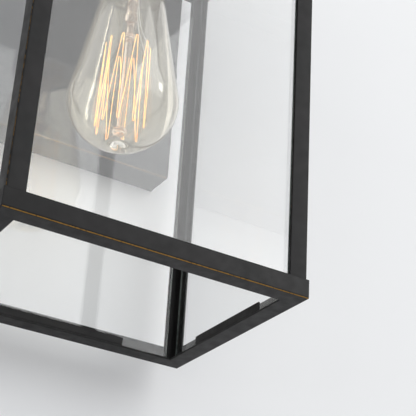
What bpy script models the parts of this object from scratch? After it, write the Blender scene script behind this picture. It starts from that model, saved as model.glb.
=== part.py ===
"""Open-bottomed glass box lantern for an outside wall, with one squirrel-cage filament bulb.

Metres, +Z up.  The origin is the centre of the mounting strap's rear face, on the wall.
The lantern stands out from the wall towards -Y, and +X is to the right as one faces it.
Heights inside the cage are counted from the underside of the bottom ring.
"""

import math

import bmesh
import bpy
from mathutils import Matrix, Vector

# ---------------------------------------------------------------- driving dimensions
GAP = 0.0003

CAGE_WIDTH = 0.170
CAGE_DEPTH = 0.135
CAGE_HEIGHT = 0.272

RING_HEIGHT = 0.0106
RING_FLANGE = 0.0108
RING_SHEET = 0.0008

POST_LEG = 0.0103
POST_SHEET = 0.0014
POST_INSET = RING_SHEET + GAP

PANE_THICKNESS = 0.0030
PANE_BESIDE_POST = 0.0010
SIDE_PANE_END = 0.0068
PANE_CHAMFER = 0.0004

CLIP_SHEET = 0.0010
CLIP_TOP = 0.0060
CLIP_FOOT = 0.0042
CLIP_CORNER = 0.0004
CLIP_SHARE = 0.57
SIDE_CLIP_FORWARD = 0.0040

PLATE_WIDTH = 0.135
PLATE_HEIGHT = 0.168
PLATE_BOTTOM = 0.1222
PLATE_DEPTH = 0.0200
PLATE_SHEET = 0.0012
PLATE_ROUNDING = 0.0008
GASKET_THICKNESS = 0.0015
GASKET_WIDTH = 0.0019

STRAP_LENGTH = 0.1306
STRAP_WIDTH = 0.020
STRAP_SHEET = 0.0020
STRAP_TAB = 0.0125
STRAP_SLOT_SPACING = 0.089
STRAP_SLOT_RADIUS = 0.0024
SIDE_SCREW_RADIUS = 0.0025
SIDE_SCREW_HEAD = 0.0052
SIDE_SCREW_HEAD_LENGTH = 0.0052
SIDE_SCREW_FROM_WALL = 0.0085
EARTH_SCREW_PLACE = (0.022, 0, 0.004)
EARTH_SCREW_RADIUS = 0.0016
EARTH_SCREW_HEAD = 0.0038

DECK_OVERHANG = 0.006
DECK_SHEET = 0.0018
ROOF_SHEET = 0.0012
ROOF_SKIRT = 0.012
ROOF_RISE = 0.020
ROOF_FLAT = 0.044
FINIAL_HEIGHT = 0.026

FINIAL_FOOT = 0.0130
FINIAL_WAIST = 0.0068
FINIAL_BALL = 0.0080
FINIAL_SOCKET = 0.0095

NIPPLE_RADIUS = 0.0048
NIPPLE_BORE = 0.0034
NIPPLE_ABOVE_ROOF = 0.0085
NUT_ACROSS_CORNERS = 0.0160
NUT_THICKNESS = 0.0035
WIRE_HOLE_RADIUS = 0.0060
ROOF_WIRE_HOLE_RADIUS = 0.0045
GROMMET_WALL = 0.0026
GROMMET_LIP = 0.0016
LINK_SPREAD = 0.050
LINK_SCREW_RADIUS = 0.0019
LINK_SCREW_HEAD = 0.0036
HOLE_LENGTH = 0.008

BULB_RADIUS = 0.032
BULB_TIP = 0.0897
BULB_WALL = 0.0009
CAP_RADIUS = 0.0131
CAP_WALL = 0.0005
CAP_HEIGHT = 0.0235
CONTACT_TOP = 0.1420
COVER_RADIUS = 0.0212
COVER_WALL = 0.0010
BODY_RADIUS = 0.0198
SHELL_CLEARANCE = 0.0004
SHELL_WALL = 0.0006
SHELL_HEIGHT = 0.0210
STEM_RADIUS = 0.0021
HUB_RADIUS = 0.0034
HUB_THICKNESS = 0.0030
HUB_UPPER = 0.1640
HUB_LOWER = 0.1010
FILAMENT_TOP = 0.1580
FILAMENT_BOTTOM = 0.1020
FILAMENT_TOP_RADIUS = 0.0129
FILAMENT_BOTTOM_RADIUS = 0.0144
FILAMENT_WIRE = 0.00025
FILAMENT_LOOP = 0.0007
ANCHORS = 10
FIRST_TOP_ANCHOR = 0.236
FIRST_BOTTOM_ANCHOR = 0.375
LEAD_IN_OUT = 0.0062
LEAD_IN_RADIUS = 0.0004

ROUND = 32

# ---------------------------------------------------------------- derived places
PLATE_REAR = -(GASKET_THICKNESS + GAP)
PLATE_FRONT = PLATE_REAR - PLATE_DEPTH
CAGE_BACK = PLATE_FRONT - GAP
CAGE_FRONT = CAGE_BACK - CAGE_DEPTH
CAGE_CENTRE = (CAGE_FRONT + CAGE_BACK) / 2
BASE = -(PLATE_BOTTOM + PLATE_HEIGHT / 2)
DECK_UNDER = CAGE_HEIGHT + GAP
ROOF_BOTTOM = DECK_UNDER + DECK_SHEET + GAP
ROOF_TOP = ROOF_BOTTOM + ROOF_SKIRT + ROOF_RISE
CAP_BOTTOM = BULB_TIP + 0.1155
WIRE_HEIGHT = BASE + ROOF_BOTTOM + ROOF_SKIRT / 2
LINK_SCREW_HEIGHT = BASE + CAGE_HEIGHT - RING_HEIGHT / 2 - RING_SHEET
SCREW_Y = -SIDE_SCREW_FROM_WALL
SIDES = {"front": 0.0, "right": 90.0, "back": 180.0, "left": 270.0}

# each finish: colour, roughness, metallic, transmission
FINISHES = {
    "bronze": ((0.042, 0.043, 0.044), 0.48, 0.6, 0.0),
    "glass": ((0.90, 0.95, 0.93), 0.03, 0.0, 1.0),
    "bulb": ((0.98, 0.94, 0.84), 0.02, 0.0, 1.0),
    "brass": ((0.72, 0.55, 0.26), 0.32, 1.0, 0.0),
    "steel": ((0.55, 0.56, 0.57), 0.38, 1.0, 0.0),
    "foam": ((0.03, 0.03, 0.03), 0.90, 0.0, 0.0),
    "porcelain": ((0.82, 0.80, 0.74), 0.25, 0.0, 0.0),
    "black_glass": ((0.02, 0.02, 0.025), 0.15, 0.0, 0.0),
    "filament": ((1.0, 0.55, 0.14), 0.40, 0.3, 0.0),
}


# ---------------------------------------------------------------- scene and materials
def clear_scene():
    """Take every object out of the scene."""
    for item in list(bpy.data.objects):
        bpy.data.objects.remove(item, do_unlink=True)


def finish_material(name, finish):
    """A Principled material of its own for a piece, with the values of the finish."""
    colour, roughness, metallic, transmission = FINISHES[finish]
    material = bpy.data.materials.new(name)
    material.use_nodes = True
    shader = material.node_tree.nodes["Principled BSDF"]
    shader.inputs["Base Color"].default_value = (*colour, 1.0)
    shader.inputs["Roughness"].default_value = roughness
    shader.inputs["Metallic"].default_value = metallic
    shader.inputs["Transmission Weight"].default_value = transmission
    return material


def finish_object(name, mesh, finish, smooth=True):
    """Make an object of a mesh, shade it and give it a material of its own."""
    mesh.materials.append(finish_material(name + "_finish", finish))
    if smooth:
        mesh.shade_smooth()
        mesh.set_sharp_from_angle(angle=math.radians(35))
    item = bpy.data.objects.new(name, mesh)
    bpy.context.scene.collection.objects.link(item)
    return item


def mesh_of(name, shape):
    """Turn a bmesh into a mesh with its faces pointing out."""
    bmesh.ops.recalc_face_normals(shape, faces=shape.faces[:])
    mesh = bpy.data.meshes.new(name)
    shape.to_mesh(mesh)
    shape.free()
    return mesh


# ---------------------------------------------------------------- shape helpers
def loft_rings(shape, rings, closed_ends=True):
    """Join rings of points, one after another, and cap the first and the last."""
    loops = [[shape.verts.new(point) for point in ring] for ring in rings]
    for lower, upper in zip(loops, loops[1:]):
        count = len(lower)
        for i in range(count):
            j = (i + 1) % count
            shape.faces.new((lower[i], lower[j], upper[j], upper[i]))
    if closed_ends:
        shape.faces.new(list(reversed(loops[0])))
        shape.faces.new(loops[-1])
    return loops


def prism(name, outline, low, high):
    """A straight bar of the outline in X and Y, from one height to another."""
    shape = bmesh.new()
    loft_rings(shape, [[(x, y, z) for x, y in outline] for z in (low, high)])
    return mesh_of(name, shape)


def box_mesh(name, low, high, chamfer=0.0):
    """A box between two corners, its edges taken off by the chamfer."""
    shape = bmesh.new()
    bmesh.ops.create_cube(shape, size=1.0)
    size = Vector(high) - Vector(low)
    middle = (Vector(high) + Vector(low)) / 2
    bmesh.ops.transform(shape, verts=shape.verts[:], matrix=Matrix.LocRotScale(middle, None, size))
    if chamfer:
        bmesh.ops.bevel(
            shape, geom=shape.edges[:], offset=chamfer, segments=1, affect="EDGES", profile=0.5
        )
    return mesh_of(name, shape)


def turned(name, profile, segments=ROUND):
    """A solid of revolution about Z, from (radius, height) points in order round its outline."""
    shape = bmesh.new()
    loops = []
    for radius, height in profile:
        if radius == 0:
            loops.append([shape.verts.new((0, 0, height))])
            continue
        angles = [2 * math.pi * i / segments for i in range(segments)]
        points = [(radius * math.cos(a), radius * math.sin(a), height) for a in angles]
        loops.append([shape.verts.new(point) for point in points])
    for lower, upper in zip(loops, loops[1:] + loops[:1]):
        join_round(shape, lower, upper, segments)
    return mesh_of(name, shape)


def join_round(shape, lower, upper, segments):
    """The band of faces between two turned loops; a loop of one point lies on the axis."""
    if len(lower) == 1 and len(upper) == 1:
        return
    for i in range(segments):
        j = (i + 1) % segments
        if len(lower) == 1:
            shape.faces.new((lower[0], upper[j], upper[i]))
        elif len(upper) == 1:
            shape.faces.new((lower[i], lower[j], upper[0]))
        else:
            shape.faces.new((lower[i], lower[j], upper[j], upper[i]))


def tube(name, points, radius, sides=6):
    """A round wire through the points, its ends closed."""
    shape = bmesh.new()
    rings = []
    normal = None
    for i, point in enumerate(points):
        ahead = Vector(points[min(i + 1, len(points) - 1)])
        behind = Vector(points[max(i - 1, 0)])
        along = (ahead - behind).normalized()
        if normal is None:
            normal = along.orthogonal().normalized()
        normal = (normal - normal.dot(along) * along).normalized()
        across = along.cross(normal)
        ring = []
        for k in range(sides):
            angle = 2 * math.pi * k / sides
            ring.append(Vector(point) + radius * (math.cos(angle) * normal + math.sin(angle) * across))
        rings.append(ring)
    loft_rings(shape, rings)
    return mesh_of(name, shape)


def cut(target, mesh, place=None):
    """Cut the mesh's shape out of the target object."""
    cutter = bpy.data.objects.new(target.name + "_cutter", mesh)
    bpy.context.scene.collection.objects.link(cutter)
    cutter.parent = target
    if place is not None:
        cutter.matrix_local = place
    cutter.hide_render = True
    cutter.display_type = "WIRE"
    modifier = target.modifiers.new("cut", "BOOLEAN")
    modifier.operation = "DIFFERENCE"
    modifier.solver = "EXACT"
    modifier.object = cutter


def drill(target, point, axis, radius):
    """A round hole through the target, centred on the point."""
    reach = HOLE_LENGTH / 2
    profile = [(0, -reach), (radius, -reach), (radius, reach), (0, reach)]
    turn = Vector(axis).to_track_quat("Z", "Y")
    cut(target, turned("hole", profile, 16), Matrix.LocRotScale(Vector(point), turn, None))


# ---------------------------------------------------------------- the cage
def cage_root():
    """The empty that the cage's pieces hang on: the middle of the bottom ring's underside."""
    root = bpy.data.objects.new("cage", None)
    root.location = (0, CAGE_CENTRE, BASE)
    bpy.context.scene.collection.objects.link(root)
    return root


def side_size(side):
    """Width along the side, and distance from the cage's middle to its outer face."""
    if side in ("front", "back"):
        return CAGE_WIDTH, CAGE_DEPTH / 2
    return CAGE_DEPTH, CAGE_WIDTH / 2


def set_on_side(item, side, root, height=0.0):
    """Place a piece made with its outer face on local Y = 0, facing -Y."""
    angle = math.radians(SIDES[side])
    offset = side_size(side)[1]
    item.parent = root
    item.rotation_euler = (0, 0, angle)
    item.location = (offset * math.sin(angle), -offset * math.cos(angle), height)


def rail(name, side, root, upside_down=False):
    """An angle rail, mitred at 45 degrees; the flange points into the cage."""
    half = side_size(side)[0] / 2 - GAP / 2
    section = [
        (0, 0),
        (RING_FLANGE, 0),
        (RING_FLANGE, RING_SHEET),
        (RING_SHEET, RING_SHEET),
        (RING_SHEET, RING_HEIGHT),
        (0, RING_HEIGHT),
    ]
    if upside_down:
        section = [(inward, RING_HEIGHT - z) for inward, z in section]
    shape = bmesh.new()
    loft_rings(shape, [[(end * (half - inward), inward, z) for inward, z in section] for end in (-1, 1)])
    item = finish_object(name, mesh_of(name, shape), "bronze", smooth=False)
    set_on_side(item, side, root, CAGE_HEIGHT - RING_HEIGHT if upside_down else 0.0)
    if upside_down and side == "back":
        for x in (-LINK_SPREAD, LINK_SPREAD):
            drill(item, (x, 0, RING_HEIGHT / 2 - RING_SHEET), (0, 1, 0), LINK_SCREW_RADIUS + GAP)


def corner_post(name, quarter, root):
    """An angle post, its outer corner just inside the ring's upright flange."""
    leg = [
        (0, 0),
        (POST_LEG, 0),
        (POST_LEG, POST_SHEET),
        (POST_SHEET, POST_SHEET),
        (POST_SHEET, POST_LEG),
        (0, POST_LEG),
    ]
    low = RING_SHEET + GAP
    item = finish_object(name, prism(name, leg, low, CAGE_HEIGHT - low), "bronze", smooth=False)
    across = CAGE_WIDTH / 2 - POST_INSET
    deep = CAGE_DEPTH / 2 - POST_INSET
    corner = [(-across, -deep), (across, -deep), (across, deep), (-across, deep)][quarter]
    item.parent = root
    item.location = (*corner, 0)
    item.rotation_euler = (0, 0, quarter * math.pi / 2)


def pane(name, side, root):
    """A sheet of clear glass that stands on the ring's flange inside the posts."""
    outer = POST_INSET + POST_SHEET + GAP
    width = side_size(side)[0]
    if side in ("front", "back"):
        half = width / 2 - POST_INSET - POST_LEG + PANE_BESIDE_POST
    else:
        half = width / 2 - SIDE_PANE_END
    low = RING_SHEET + GAP
    mesh = box_mesh(
        name,
        (-half, outer, low),
        (half, outer + PANE_THICKNESS, CAGE_HEIGHT - low),
        PANE_CHAMFER,
    )
    item = finish_object(name, mesh, "glass", smooth=False)
    set_on_side(item, side, root)


def glass_clip(name, side, root):
    """A folded clip: a foot on the flange behind the pane, and a blade at the flange's edge."""
    half = CLIP_SHARE * (side_size(side)[0] / 2 - RING_FLANGE)
    middle = {"right": -SIDE_CLIP_FORWARD, "left": SIDE_CLIP_FORWARD}.get(side, 0.0)
    ends = (middle - half, middle + half)
    low = RING_SHEET + GAP
    inner = RING_FLANGE
    section = [
        (inner - CLIP_FOOT, low),
        (inner, low),
        (inner, CLIP_TOP),
        (inner - CLIP_SHEET, CLIP_TOP),
        (inner - CLIP_SHEET, low + CLIP_SHEET),
        (inner - CLIP_FOOT, low + CLIP_SHEET),
    ]
    shape = bmesh.new()
    loft_rings(shape, [[(end, inward, z) for inward, z in section] for end in ends])
    tops = [
        edge
        for edge in shape.edges
        if min(vert.co.z for vert in edge.verts) > CLIP_TOP - GAP and edge.calc_length() < 2 * CLIP_SHEET
    ]
    bmesh.ops.bevel(shape, geom=tops, offset=CLIP_CORNER, segments=3, affect="EDGES", profile=0.5)
    item = finish_object(name, mesh_of(name, shape), "bronze", smooth=False)
    set_on_side(item, side, root)


def build_cage(root):
    """Both rings, the posts, the panes and the clips."""
    for side in SIDES:
        rail("bottom_rail_" + side, side, root)
        rail("top_rail_" + side, side, root, upside_down=True)
        pane("glass_" + side, side, root)
        glass_clip("glass_clip_" + side, side, root)
    for quarter, corner in enumerate(("front_left", "front_right", "back_right", "back_left")):
        corner_post("corner_post_" + corner, quarter, root)


# ---------------------------------------------------------------- the roof
def deck(root):
    """The flat top plate, standing out past the cage at the front and the sides."""
    half = CAGE_WIDTH / 2 + DECK_OVERHANG
    front = -(CAGE_DEPTH / 2 + DECK_OVERHANG)
    low = (-half, front, DECK_UNDER)
    high = (half, CAGE_DEPTH / 2, DECK_UNDER + DECK_SHEET)
    mesh = box_mesh("top_deck", low, high, PANE_CHAMFER)
    item = finish_object("top_deck", mesh, "bronze", smooth=False)
    item.parent = root
    drill(item, (0, 0, DECK_UNDER + DECK_SHEET / 2), (0, 0, 1), NIPPLE_RADIUS + GAP)


def roof_loop(inset, height, flat=False):
    """The four corners of the roof at a height, set in from its outside."""
    across = ROOF_FLAT / 2 if flat else CAGE_WIDTH / 2
    deep = ROOF_FLAT / 2 if flat else CAGE_DEPTH / 2
    across -= inset
    deep -= inset
    return [(x, y, height) for x, y in ((-across, -deep), (across, -deep), (across, deep), (-across, deep))]


def roof_shell(root):
    """The hipped roof with its upright skirt, open underneath."""
    eave = ROOF_BOTTOM + ROOF_SKIRT
    shape = bmesh.new()
    rings = [
        roof_loop(ROOF_SHEET, ROOF_BOTTOM),
        roof_loop(0, ROOF_BOTTOM),
        roof_loop(0, eave),
        roof_loop(0, ROOF_TOP, flat=True),
    ]
    outer = loft_rings(shape, rings, closed_ends=False)
    shape.faces.new(outer[-1])
    inner_rings = [
        roof_loop(ROOF_SHEET, eave - ROOF_SHEET),
        roof_loop(ROOF_SHEET, ROOF_TOP - ROOF_SHEET, flat=True),
    ]
    inner = [[shape.verts.new(point) for point in ring] for ring in inner_rings]
    for lower, upper in ((outer[0], inner[0]), (inner[0], inner[1])):
        for i in range(4):
            j = (i + 1) % 4
            shape.faces.new((lower[j], lower[i], upper[i], upper[j]))
    shape.faces.new(list(reversed(inner[1])))
    item = finish_object("roof_shell", mesh_of("roof_shell", shape), "bronze", smooth=False)
    item.parent = root
    drill(item, (0, 0, ROOF_TOP), (0, 0, 1), NIPPLE_RADIUS + GAP)
    wire = (0, CAGE_DEPTH / 2, ROOF_BOTTOM + ROOF_SKIRT / 2)
    drill(item, wire, (0, 1, 0), ROOF_WIRE_HOLE_RADIUS)


def finial(root):
    """The turned knob that screws down on the nipple and holds the roof."""
    bore = NIPPLE_RADIUS + GAP
    profile = [
        (bore, 0),
        (FINIAL_FOOT, 0),
        (FINIAL_FOOT, 0.0022),
        (0.0095, 0.0040),
        (FINIAL_WAIST, 0.0060),
        (FINIAL_WAIST, 0.0080),
    ]
    profile += arc_points(FINIAL_BALL, FINIAL_HEIGHT - FINIAL_BALL, -55, 90, 8)
    profile += [(0, FINIAL_SOCKET), (bore, FINIAL_SOCKET)]
    item = finish_object("finial", turned("finial", profile), "bronze")
    item.parent = root
    item.location = (0, 0, ROOF_TOP + GAP)


def arc_points(radius, height, low, high, steps):
    """Points of a ball's outline, between two angles above the level."""
    points = []
    for i in range(steps + 1):
        angle = math.radians(low + (high - low) * i / steps)
        across = radius * math.cos(angle)
        points.append((across if across > 1e-6 else 0, height + radius * math.sin(angle)))
    return points


def hex_nut(name, root, bottom):
    """A hexagon nut on the nipple: a turned ring whose outer wall is drawn in to six flats."""
    bore = NIPPLE_RADIUS + GAP
    corner = NUT_ACROSS_CORNERS / 2
    top = bottom + NUT_THICKNESS
    mesh = turned(name, [(bore, bottom), (corner, bottom), (corner, top), (bore, top)], 24)
    sixth = math.pi / 3
    for vert in mesh.vertices:
        if vert.co.xy.length > (bore + corner) / 2:
            angle = math.atan2(vert.co.y, vert.co.x) % sixth - sixth / 2
            vert.co.xy *= math.cos(sixth / 2) / math.cos(angle)
    item = finish_object(name, mesh, "steel", smooth=False)
    item.parent = root


def nipple(root, bottom):
    """The threaded tube that carries the socket, the deck and the roof."""
    top = ROOF_TOP + NIPPLE_ABOVE_ROOF
    profile = [
        (NIPPLE_BORE, bottom),
        (NIPPLE_RADIUS, bottom),
        (NIPPLE_RADIUS, top),
        (NIPPLE_BORE, top),
    ]
    item = finish_object("nipple", turned("nipple", profile, 16), "steel")
    item.parent = root


def build_roof(root):
    """The deck, the roof shell, the finial and the nuts."""
    deck(root)
    roof_shell(root)
    finial(root)
    hex_nut("deck_nut", root, DECK_UNDER - GAP - NUT_THICKNESS)
    hex_nut("roof_nut", root, DECK_UNDER + DECK_SHEET + GAP)


# ---------------------------------------------------------------- the lamp holder
def cup(name, finish, radius, wall, low, high, hole):
    """A turned cup, open below, with a hole in its top."""
    profile = [
        (radius - wall, low),
        (radius, low),
        (radius, high - wall),
        (radius - wall, high),
        (hole, high),
        (hole, high - wall),
        (radius - wall, high - wall),
    ]
    return finish_object(name, turned(name, profile), finish)


def build_socket(root):
    """The cover, the porcelain body, the brass shell and the centre contact."""
    mouth = CAP_BOTTOM + 0.0020
    holder_top = CAP_BOTTOM + 0.0420
    body_top = holder_top - 0.0020
    low = mouth - 0.0015
    high = holder_top + 0.0060
    cover = cup("socket_cover", "bronze", COVER_RADIUS, COVER_WALL, low, high, NIPPLE_RADIUS + GAP)
    mesh = turned("socket_body", socket_body_profile(mouth, body_top))
    body = finish_object("socket_body", mesh, "porcelain")
    mesh = turned("screw_shell", screw_shell_profile(mouth + 0.0025))
    shell = finish_object("screw_shell", mesh, "brass")
    mesh = turned("centre_contact", centre_contact_profile(BULB_TIP + CONTACT_TOP + GAP), 16)
    contact = finish_object("centre_contact", mesh, "brass")
    for item in (cover, body, shell, contact):
        item.parent = root
    nipple(root, body_top + 0.0010)


def screw_shell_profile(low):
    """The brass shell's outline: a plain tube round the bulb's cap."""
    inner = CAP_RADIUS + SHELL_CLEARANCE
    outer = inner + SHELL_WALL
    high = low + SHELL_HEIGHT
    return [(inner, low), (outer, low), (outer, high), (inner, high)]


def centre_contact_profile(low):
    """The contact's outline: a disc on a short stalk."""
    disc, stalk = 0.0036, 0.0016
    middle = low + 0.0008
    top = low + 0.0022
    return [(0, low), (disc, low), (disc, middle), (stalk, middle), (stalk, top), (0, top)]


def socket_body_profile(mouth, top):
    """The body's outline: a thick porcelain cup with a solid end."""
    inner = CAP_RADIUS + SHELL_CLEARANCE + SHELL_WALL + GAP
    floor = mouth + 0.0280
    return [
        (inner, mouth),
        (BODY_RADIUS - 0.0008, mouth),
        (BODY_RADIUS, mouth + 0.0010),
        (BODY_RADIUS, top - 0.0020),
        (BODY_RADIUS - 0.0020, top),
        (0, top),
        (0, floor),
        (inner, floor),
    ]


# ---------------------------------------------------------------- the bulb
def envelope_profile():
    """The bulb's outer outline from its tip: a dome, a long taper and a neck."""
    widest = 0.031
    points = []
    steps = 9
    for i in range(steps + 1):
        angle = math.pi / 2 * i / steps
        points.append((BULB_RADIUS * math.sin(angle), widest * (1 - math.cos(angle))))
    points += [(0.0308, 0.043), (0.0278, 0.057), (0.0238, 0.074), (0.0202, 0.092), (0.0178, 0.106)]
    points += [(0.0155, 0.1110), (0.0121, 0.1138), (0.0118, 0.1165)]
    return points


def bulb_part(name, mesh, finish, root):
    """One piece of the bulb, hung on the bulb's own empty."""
    item = finish_object(name, mesh, finish)
    item.parent = root
    return item


def build_envelope(root):
    """The blown glass, open at its neck."""
    outer = [(radius, BULB_TIP + height) for radius, height in envelope_profile()]
    inner = [(max(radius - BULB_WALL, 0), height) for radius, height in outer[1:]]
    inner = [point for point in inner if point[0] > BULB_WALL]
    inner[0] = (0, BULB_TIP + BULB_WALL)
    profile = outer + list(reversed(inner))
    bulb_part("bulb_glass", turned("bulb_glass", profile), "bulb", root)


def build_cap(root):
    """The brass screw cap, its black glass insulator and the solder contact."""
    low = CAP_BOTTOM - 0.0010
    end = low + CAP_HEIGHT
    profile = [
        (CAP_RADIUS - CAP_WALL, low),
        (CAP_RADIUS, low),
        (CAP_RADIUS, end - 0.0020),
        (0.0105, end),
        (0.0075, end),
        (CAP_RADIUS - CAP_WALL, end - 0.0030),
    ]
    bulb_part("bulb_cap", turned("bulb_cap", profile), "brass", root)
    seat = end + GAP
    top = BULB_TIP + CONTACT_TOP
    rim = top - 0.0015
    ring = [(0, seat), (0.0085, seat), (0.0060, rim), (0, rim)]
    bulb_part("bulb_insulator", turned("bulb_insulator", ring, 16), "black_glass", root)
    dot = [(0, rim + GAP), (0.0035, rim + GAP), (0.0024, top), (0, top)]
    bulb_part("bulb_contact", turned("bulb_contact", dot, 16), "steel", root)


def build_stem(root):
    """The glass mount: a flare in the neck and a rod down the middle."""
    low = HUB_LOWER - 0.0035
    high = CAP_BOTTOM + 0.0080
    profile = [
        (0, low),
        (0.0012, low + 0.0004),
        (STEM_RADIUS, low + 0.0015),
        (STEM_RADIUS, HUB_UPPER + 0.014),
        (0.0040, HUB_UPPER + 0.020),
        (0.0048, high - 0.0060),
        (0.0095, high),
        (0, high),
    ]
    bulb_part("glass_stem", turned("glass_stem", profile, 16), "bulb", root)


def anchor_angle(index, lower):
    """Bearing of an anchor: the lower ones stand a little on from the upper ones."""
    first = FIRST_BOTTOM_ANCHOR if lower else FIRST_TOP_ANCHOR
    return 2 * math.pi * index / ANCHORS + first


def spoked_hub(name, middle, tips, root):
    """A glass bead on the stem with a wire spoke out to every tip."""
    sides = 2 * ANCHORS
    low = middle - HUB_THICKNESS / 2
    high = middle + HUB_THICKNESS / 2
    hole = STEM_RADIUS + GAP
    shape = bmesh.new()
    first = math.atan2(tips[0].y, tips[0].x)
    rings = []
    for radius, height in ((hole, low), (HUB_RADIUS, low), (HUB_RADIUS, high), (hole, high)):
        angles = [first + 2 * math.pi * (i - 0.5) / sides for i in range(sides)]
        rings.append([(radius * math.cos(a), radius * math.sin(a), height) for a in angles])
    loops = loft_rings(shape, rings, closed_ends=False)
    join_round(shape, loops[-1], loops[0], sides)
    outside = HUB_RADIUS - GAP
    walls = [face for face in shape.faces if min(v.co.xy.length for v in face.verts) > outside]
    for tip in tips:
        grow_spoke(shape, walls, tip)
    bulb_part(name, mesh_of(name, shape), "brass", root)


def grow_spoke(shape, walls, tip):
    """Draw the wall face that looks at the tip out into a thin wire."""
    bearing = Vector((tip.x, tip.y, 0)).normalized()
    wall = max(walls, key=lambda face: face.calc_center_median().xy.normalized().dot(bearing.xy))
    walls.remove(wall)
    bmesh.ops.inset_individual(shape, faces=[wall], thickness=HUB_RADIUS * 0.10)
    middle = wall.calc_center_median()
    for vert in wall.verts:
        vert.co = middle + (vert.co - middle).normalized() * FILAMENT_WIRE
    grown = bmesh.ops.extrude_face_region(shape, geom=[wall])
    verts = [item for item in grown["geom"] if isinstance(item, bmesh.types.BMVert)]
    bmesh.ops.translate(shape, verts=verts, vec=tip - middle)
    bmesh.ops.delete(shape, geom=[wall], context="FACES_ONLY")


def filament_path():
    """The zig-zag wire: up and down between the anchors, with a small loop at each."""
    points = []
    for index in range(2 * ANCHORS - 1):
        lower = index % 2 == 1
        radius = FILAMENT_BOTTOM_RADIUS if lower else FILAMENT_TOP_RADIUS
        height = FILAMENT_BOTTOM if lower else FILAMENT_TOP
        angle = anchor_angle(index // 2, lower)
        turn = -1 if lower else 1
        for k in (-1, 0, 1):
            bearing = angle + k * FILAMENT_LOOP / radius
            lift = turn * FILAMENT_LOOP * (1 - abs(k))
            points.append((radius * math.cos(bearing), radius * math.sin(bearing), height + lift))
    return points


def build_filament(root):
    """The filament, its two spoked hubs and the two lead-in wires."""
    path = filament_path()
    bulb_part("filament", tube("filament", path, FILAMENT_WIRE, 6), "filament", root)
    clear = 1.0 - 0.0010 / FILAMENT_TOP_RADIUS
    for name, height, lower in (("upper_hub", HUB_UPPER, False), ("lower_hub", HUB_LOWER, True)):
        radius = (FILAMENT_BOTTOM_RADIUS if lower else FILAMENT_TOP_RADIUS) * clear
        level = FILAMENT_BOTTOM if lower else FILAMENT_TOP
        count = ANCHORS - 1 if lower else ANCHORS
        tips = []
        for index in range(count):
            angle = anchor_angle(index, lower)
            tips.append(Vector((radius * math.cos(angle), radius * math.sin(angle), level)))
        spoked_hub(name, height, tips, root)
    for side, end in (("first", path[0]), ("last", path[-1])):
        build_lead_in("lead_in_" + side, Vector(end), root)


def build_lead_in(name, end, root):
    """A stiff wire from the neck down to one end of the filament."""
    out = Vector((end.x, end.y, 0)).normalized()
    start = out * LEAD_IN_OUT + Vector((0, 0, HUB_UPPER + 0.034))
    knee = out * LEAD_IN_OUT + Vector((0, 0, HUB_UPPER + 0.012))
    stop = end + Vector((0, 0, 0.0016)) - out * LEAD_IN_RADIUS
    bulb_part(name, tube(name, [start, knee, stop], LEAD_IN_RADIUS, 6), "steel", root)


def build_bulb(root):
    """Every piece of the bulb, hung on an empty at the tip of its glass."""
    build_envelope(root)
    build_cap(root)
    build_stem(root)
    build_filament(root)


# ---------------------------------------------------------------- the wall side
def plate_box(inset_side, front, rear):
    """Two corners of a box as wide and high as the wall plate, less an inset."""
    across = PLATE_WIDTH / 2 - inset_side
    high = PLATE_HEIGHT / 2 - inset_side
    return (-across, front, -high), (across, rear, high)


def wall_plate():
    """The folded plate that covers the outlet box, open towards the wall."""
    low, high = plate_box(0, PLATE_FRONT, PLATE_REAR)
    mesh = box_mesh("wall_plate", low, high, PLATE_ROUNDING)
    item = finish_object("wall_plate", mesh, "bronze", smooth=False)
    hollow = plate_box(PLATE_SHEET, PLATE_FRONT + PLATE_SHEET, PLATE_REAR + 0.005)
    cut(item, box_mesh("hollow", *hollow))
    drill(item, (0, PLATE_FRONT, WIRE_HEIGHT), (0, 1, 0), WIRE_HOLE_RADIUS)
    for side in (-1, 1):
        drill(item, (side * PLATE_WIDTH / 2, SCREW_Y, 0), (1, 0, 0), SIDE_SCREW_RADIUS + GAP)
        link = (side * LINK_SPREAD, PLATE_FRONT, LINK_SCREW_HEIGHT)
        drill(item, link, (0, 1, 0), LINK_SCREW_RADIUS + GAP)


def wall_gasket():
    """The foam frame between the wall and the plate's rim."""
    mesh = box_mesh("wall_gasket", *plate_box(0, -GASKET_THICKNESS, 0))
    item = finish_object("wall_gasket", mesh, "foam", smooth=False)
    cut(item, box_mesh("window", *plate_box(GASKET_WIDTH, -0.005, 0.005)))


def mounting_strap():
    """The steel strap on the outlet box, its ends turned out for the side screws."""
    half = STRAP_LENGTH / 2
    sheet = STRAP_SHEET
    outline = [
        (-half, 0),
        (-half, -STRAP_TAB),
        (-half + sheet, -STRAP_TAB),
        (-half + sheet, -sheet),
        (half - sheet, -sheet),
        (half - sheet, -STRAP_TAB),
        (half, -STRAP_TAB),
        (half, 0),
    ]
    mesh = prism("mounting_strap", outline, -STRAP_WIDTH / 2, STRAP_WIDTH / 2)
    item = finish_object("mounting_strap", mesh, "steel", smooth=False)
    for side in (-1, 1):
        drill(item, (side * half, SCREW_Y, 0), (1, 0, 0), SIDE_SCREW_RADIUS + GAP)
        drill(item, (side * STRAP_SLOT_SPACING / 2, 0, 0), (0, 1, 0), STRAP_SLOT_RADIUS)
    drill(item, EARTH_SCREW_PLACE, (0, 1, 0), EARTH_SCREW_RADIUS + GAP)


def ground_screw():
    """The earth screw in the strap."""
    seat = STRAP_SHEET + 0.0004
    profile = [
        (0, 0.0006),
        (EARTH_SCREW_RADIUS, 0.0006),
        (EARTH_SCREW_RADIUS, seat),
        (EARTH_SCREW_HEAD, seat),
        (EARTH_SCREW_HEAD - 0.0002, seat + 0.0016),
        (0, seat + 0.0022),
    ]
    item = finish_object("ground_screw", turned("ground_screw", profile, 16), "brass")
    item.rotation_euler = (math.pi / 2, 0, 0)
    item.location = EARTH_SCREW_PLACE


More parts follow.
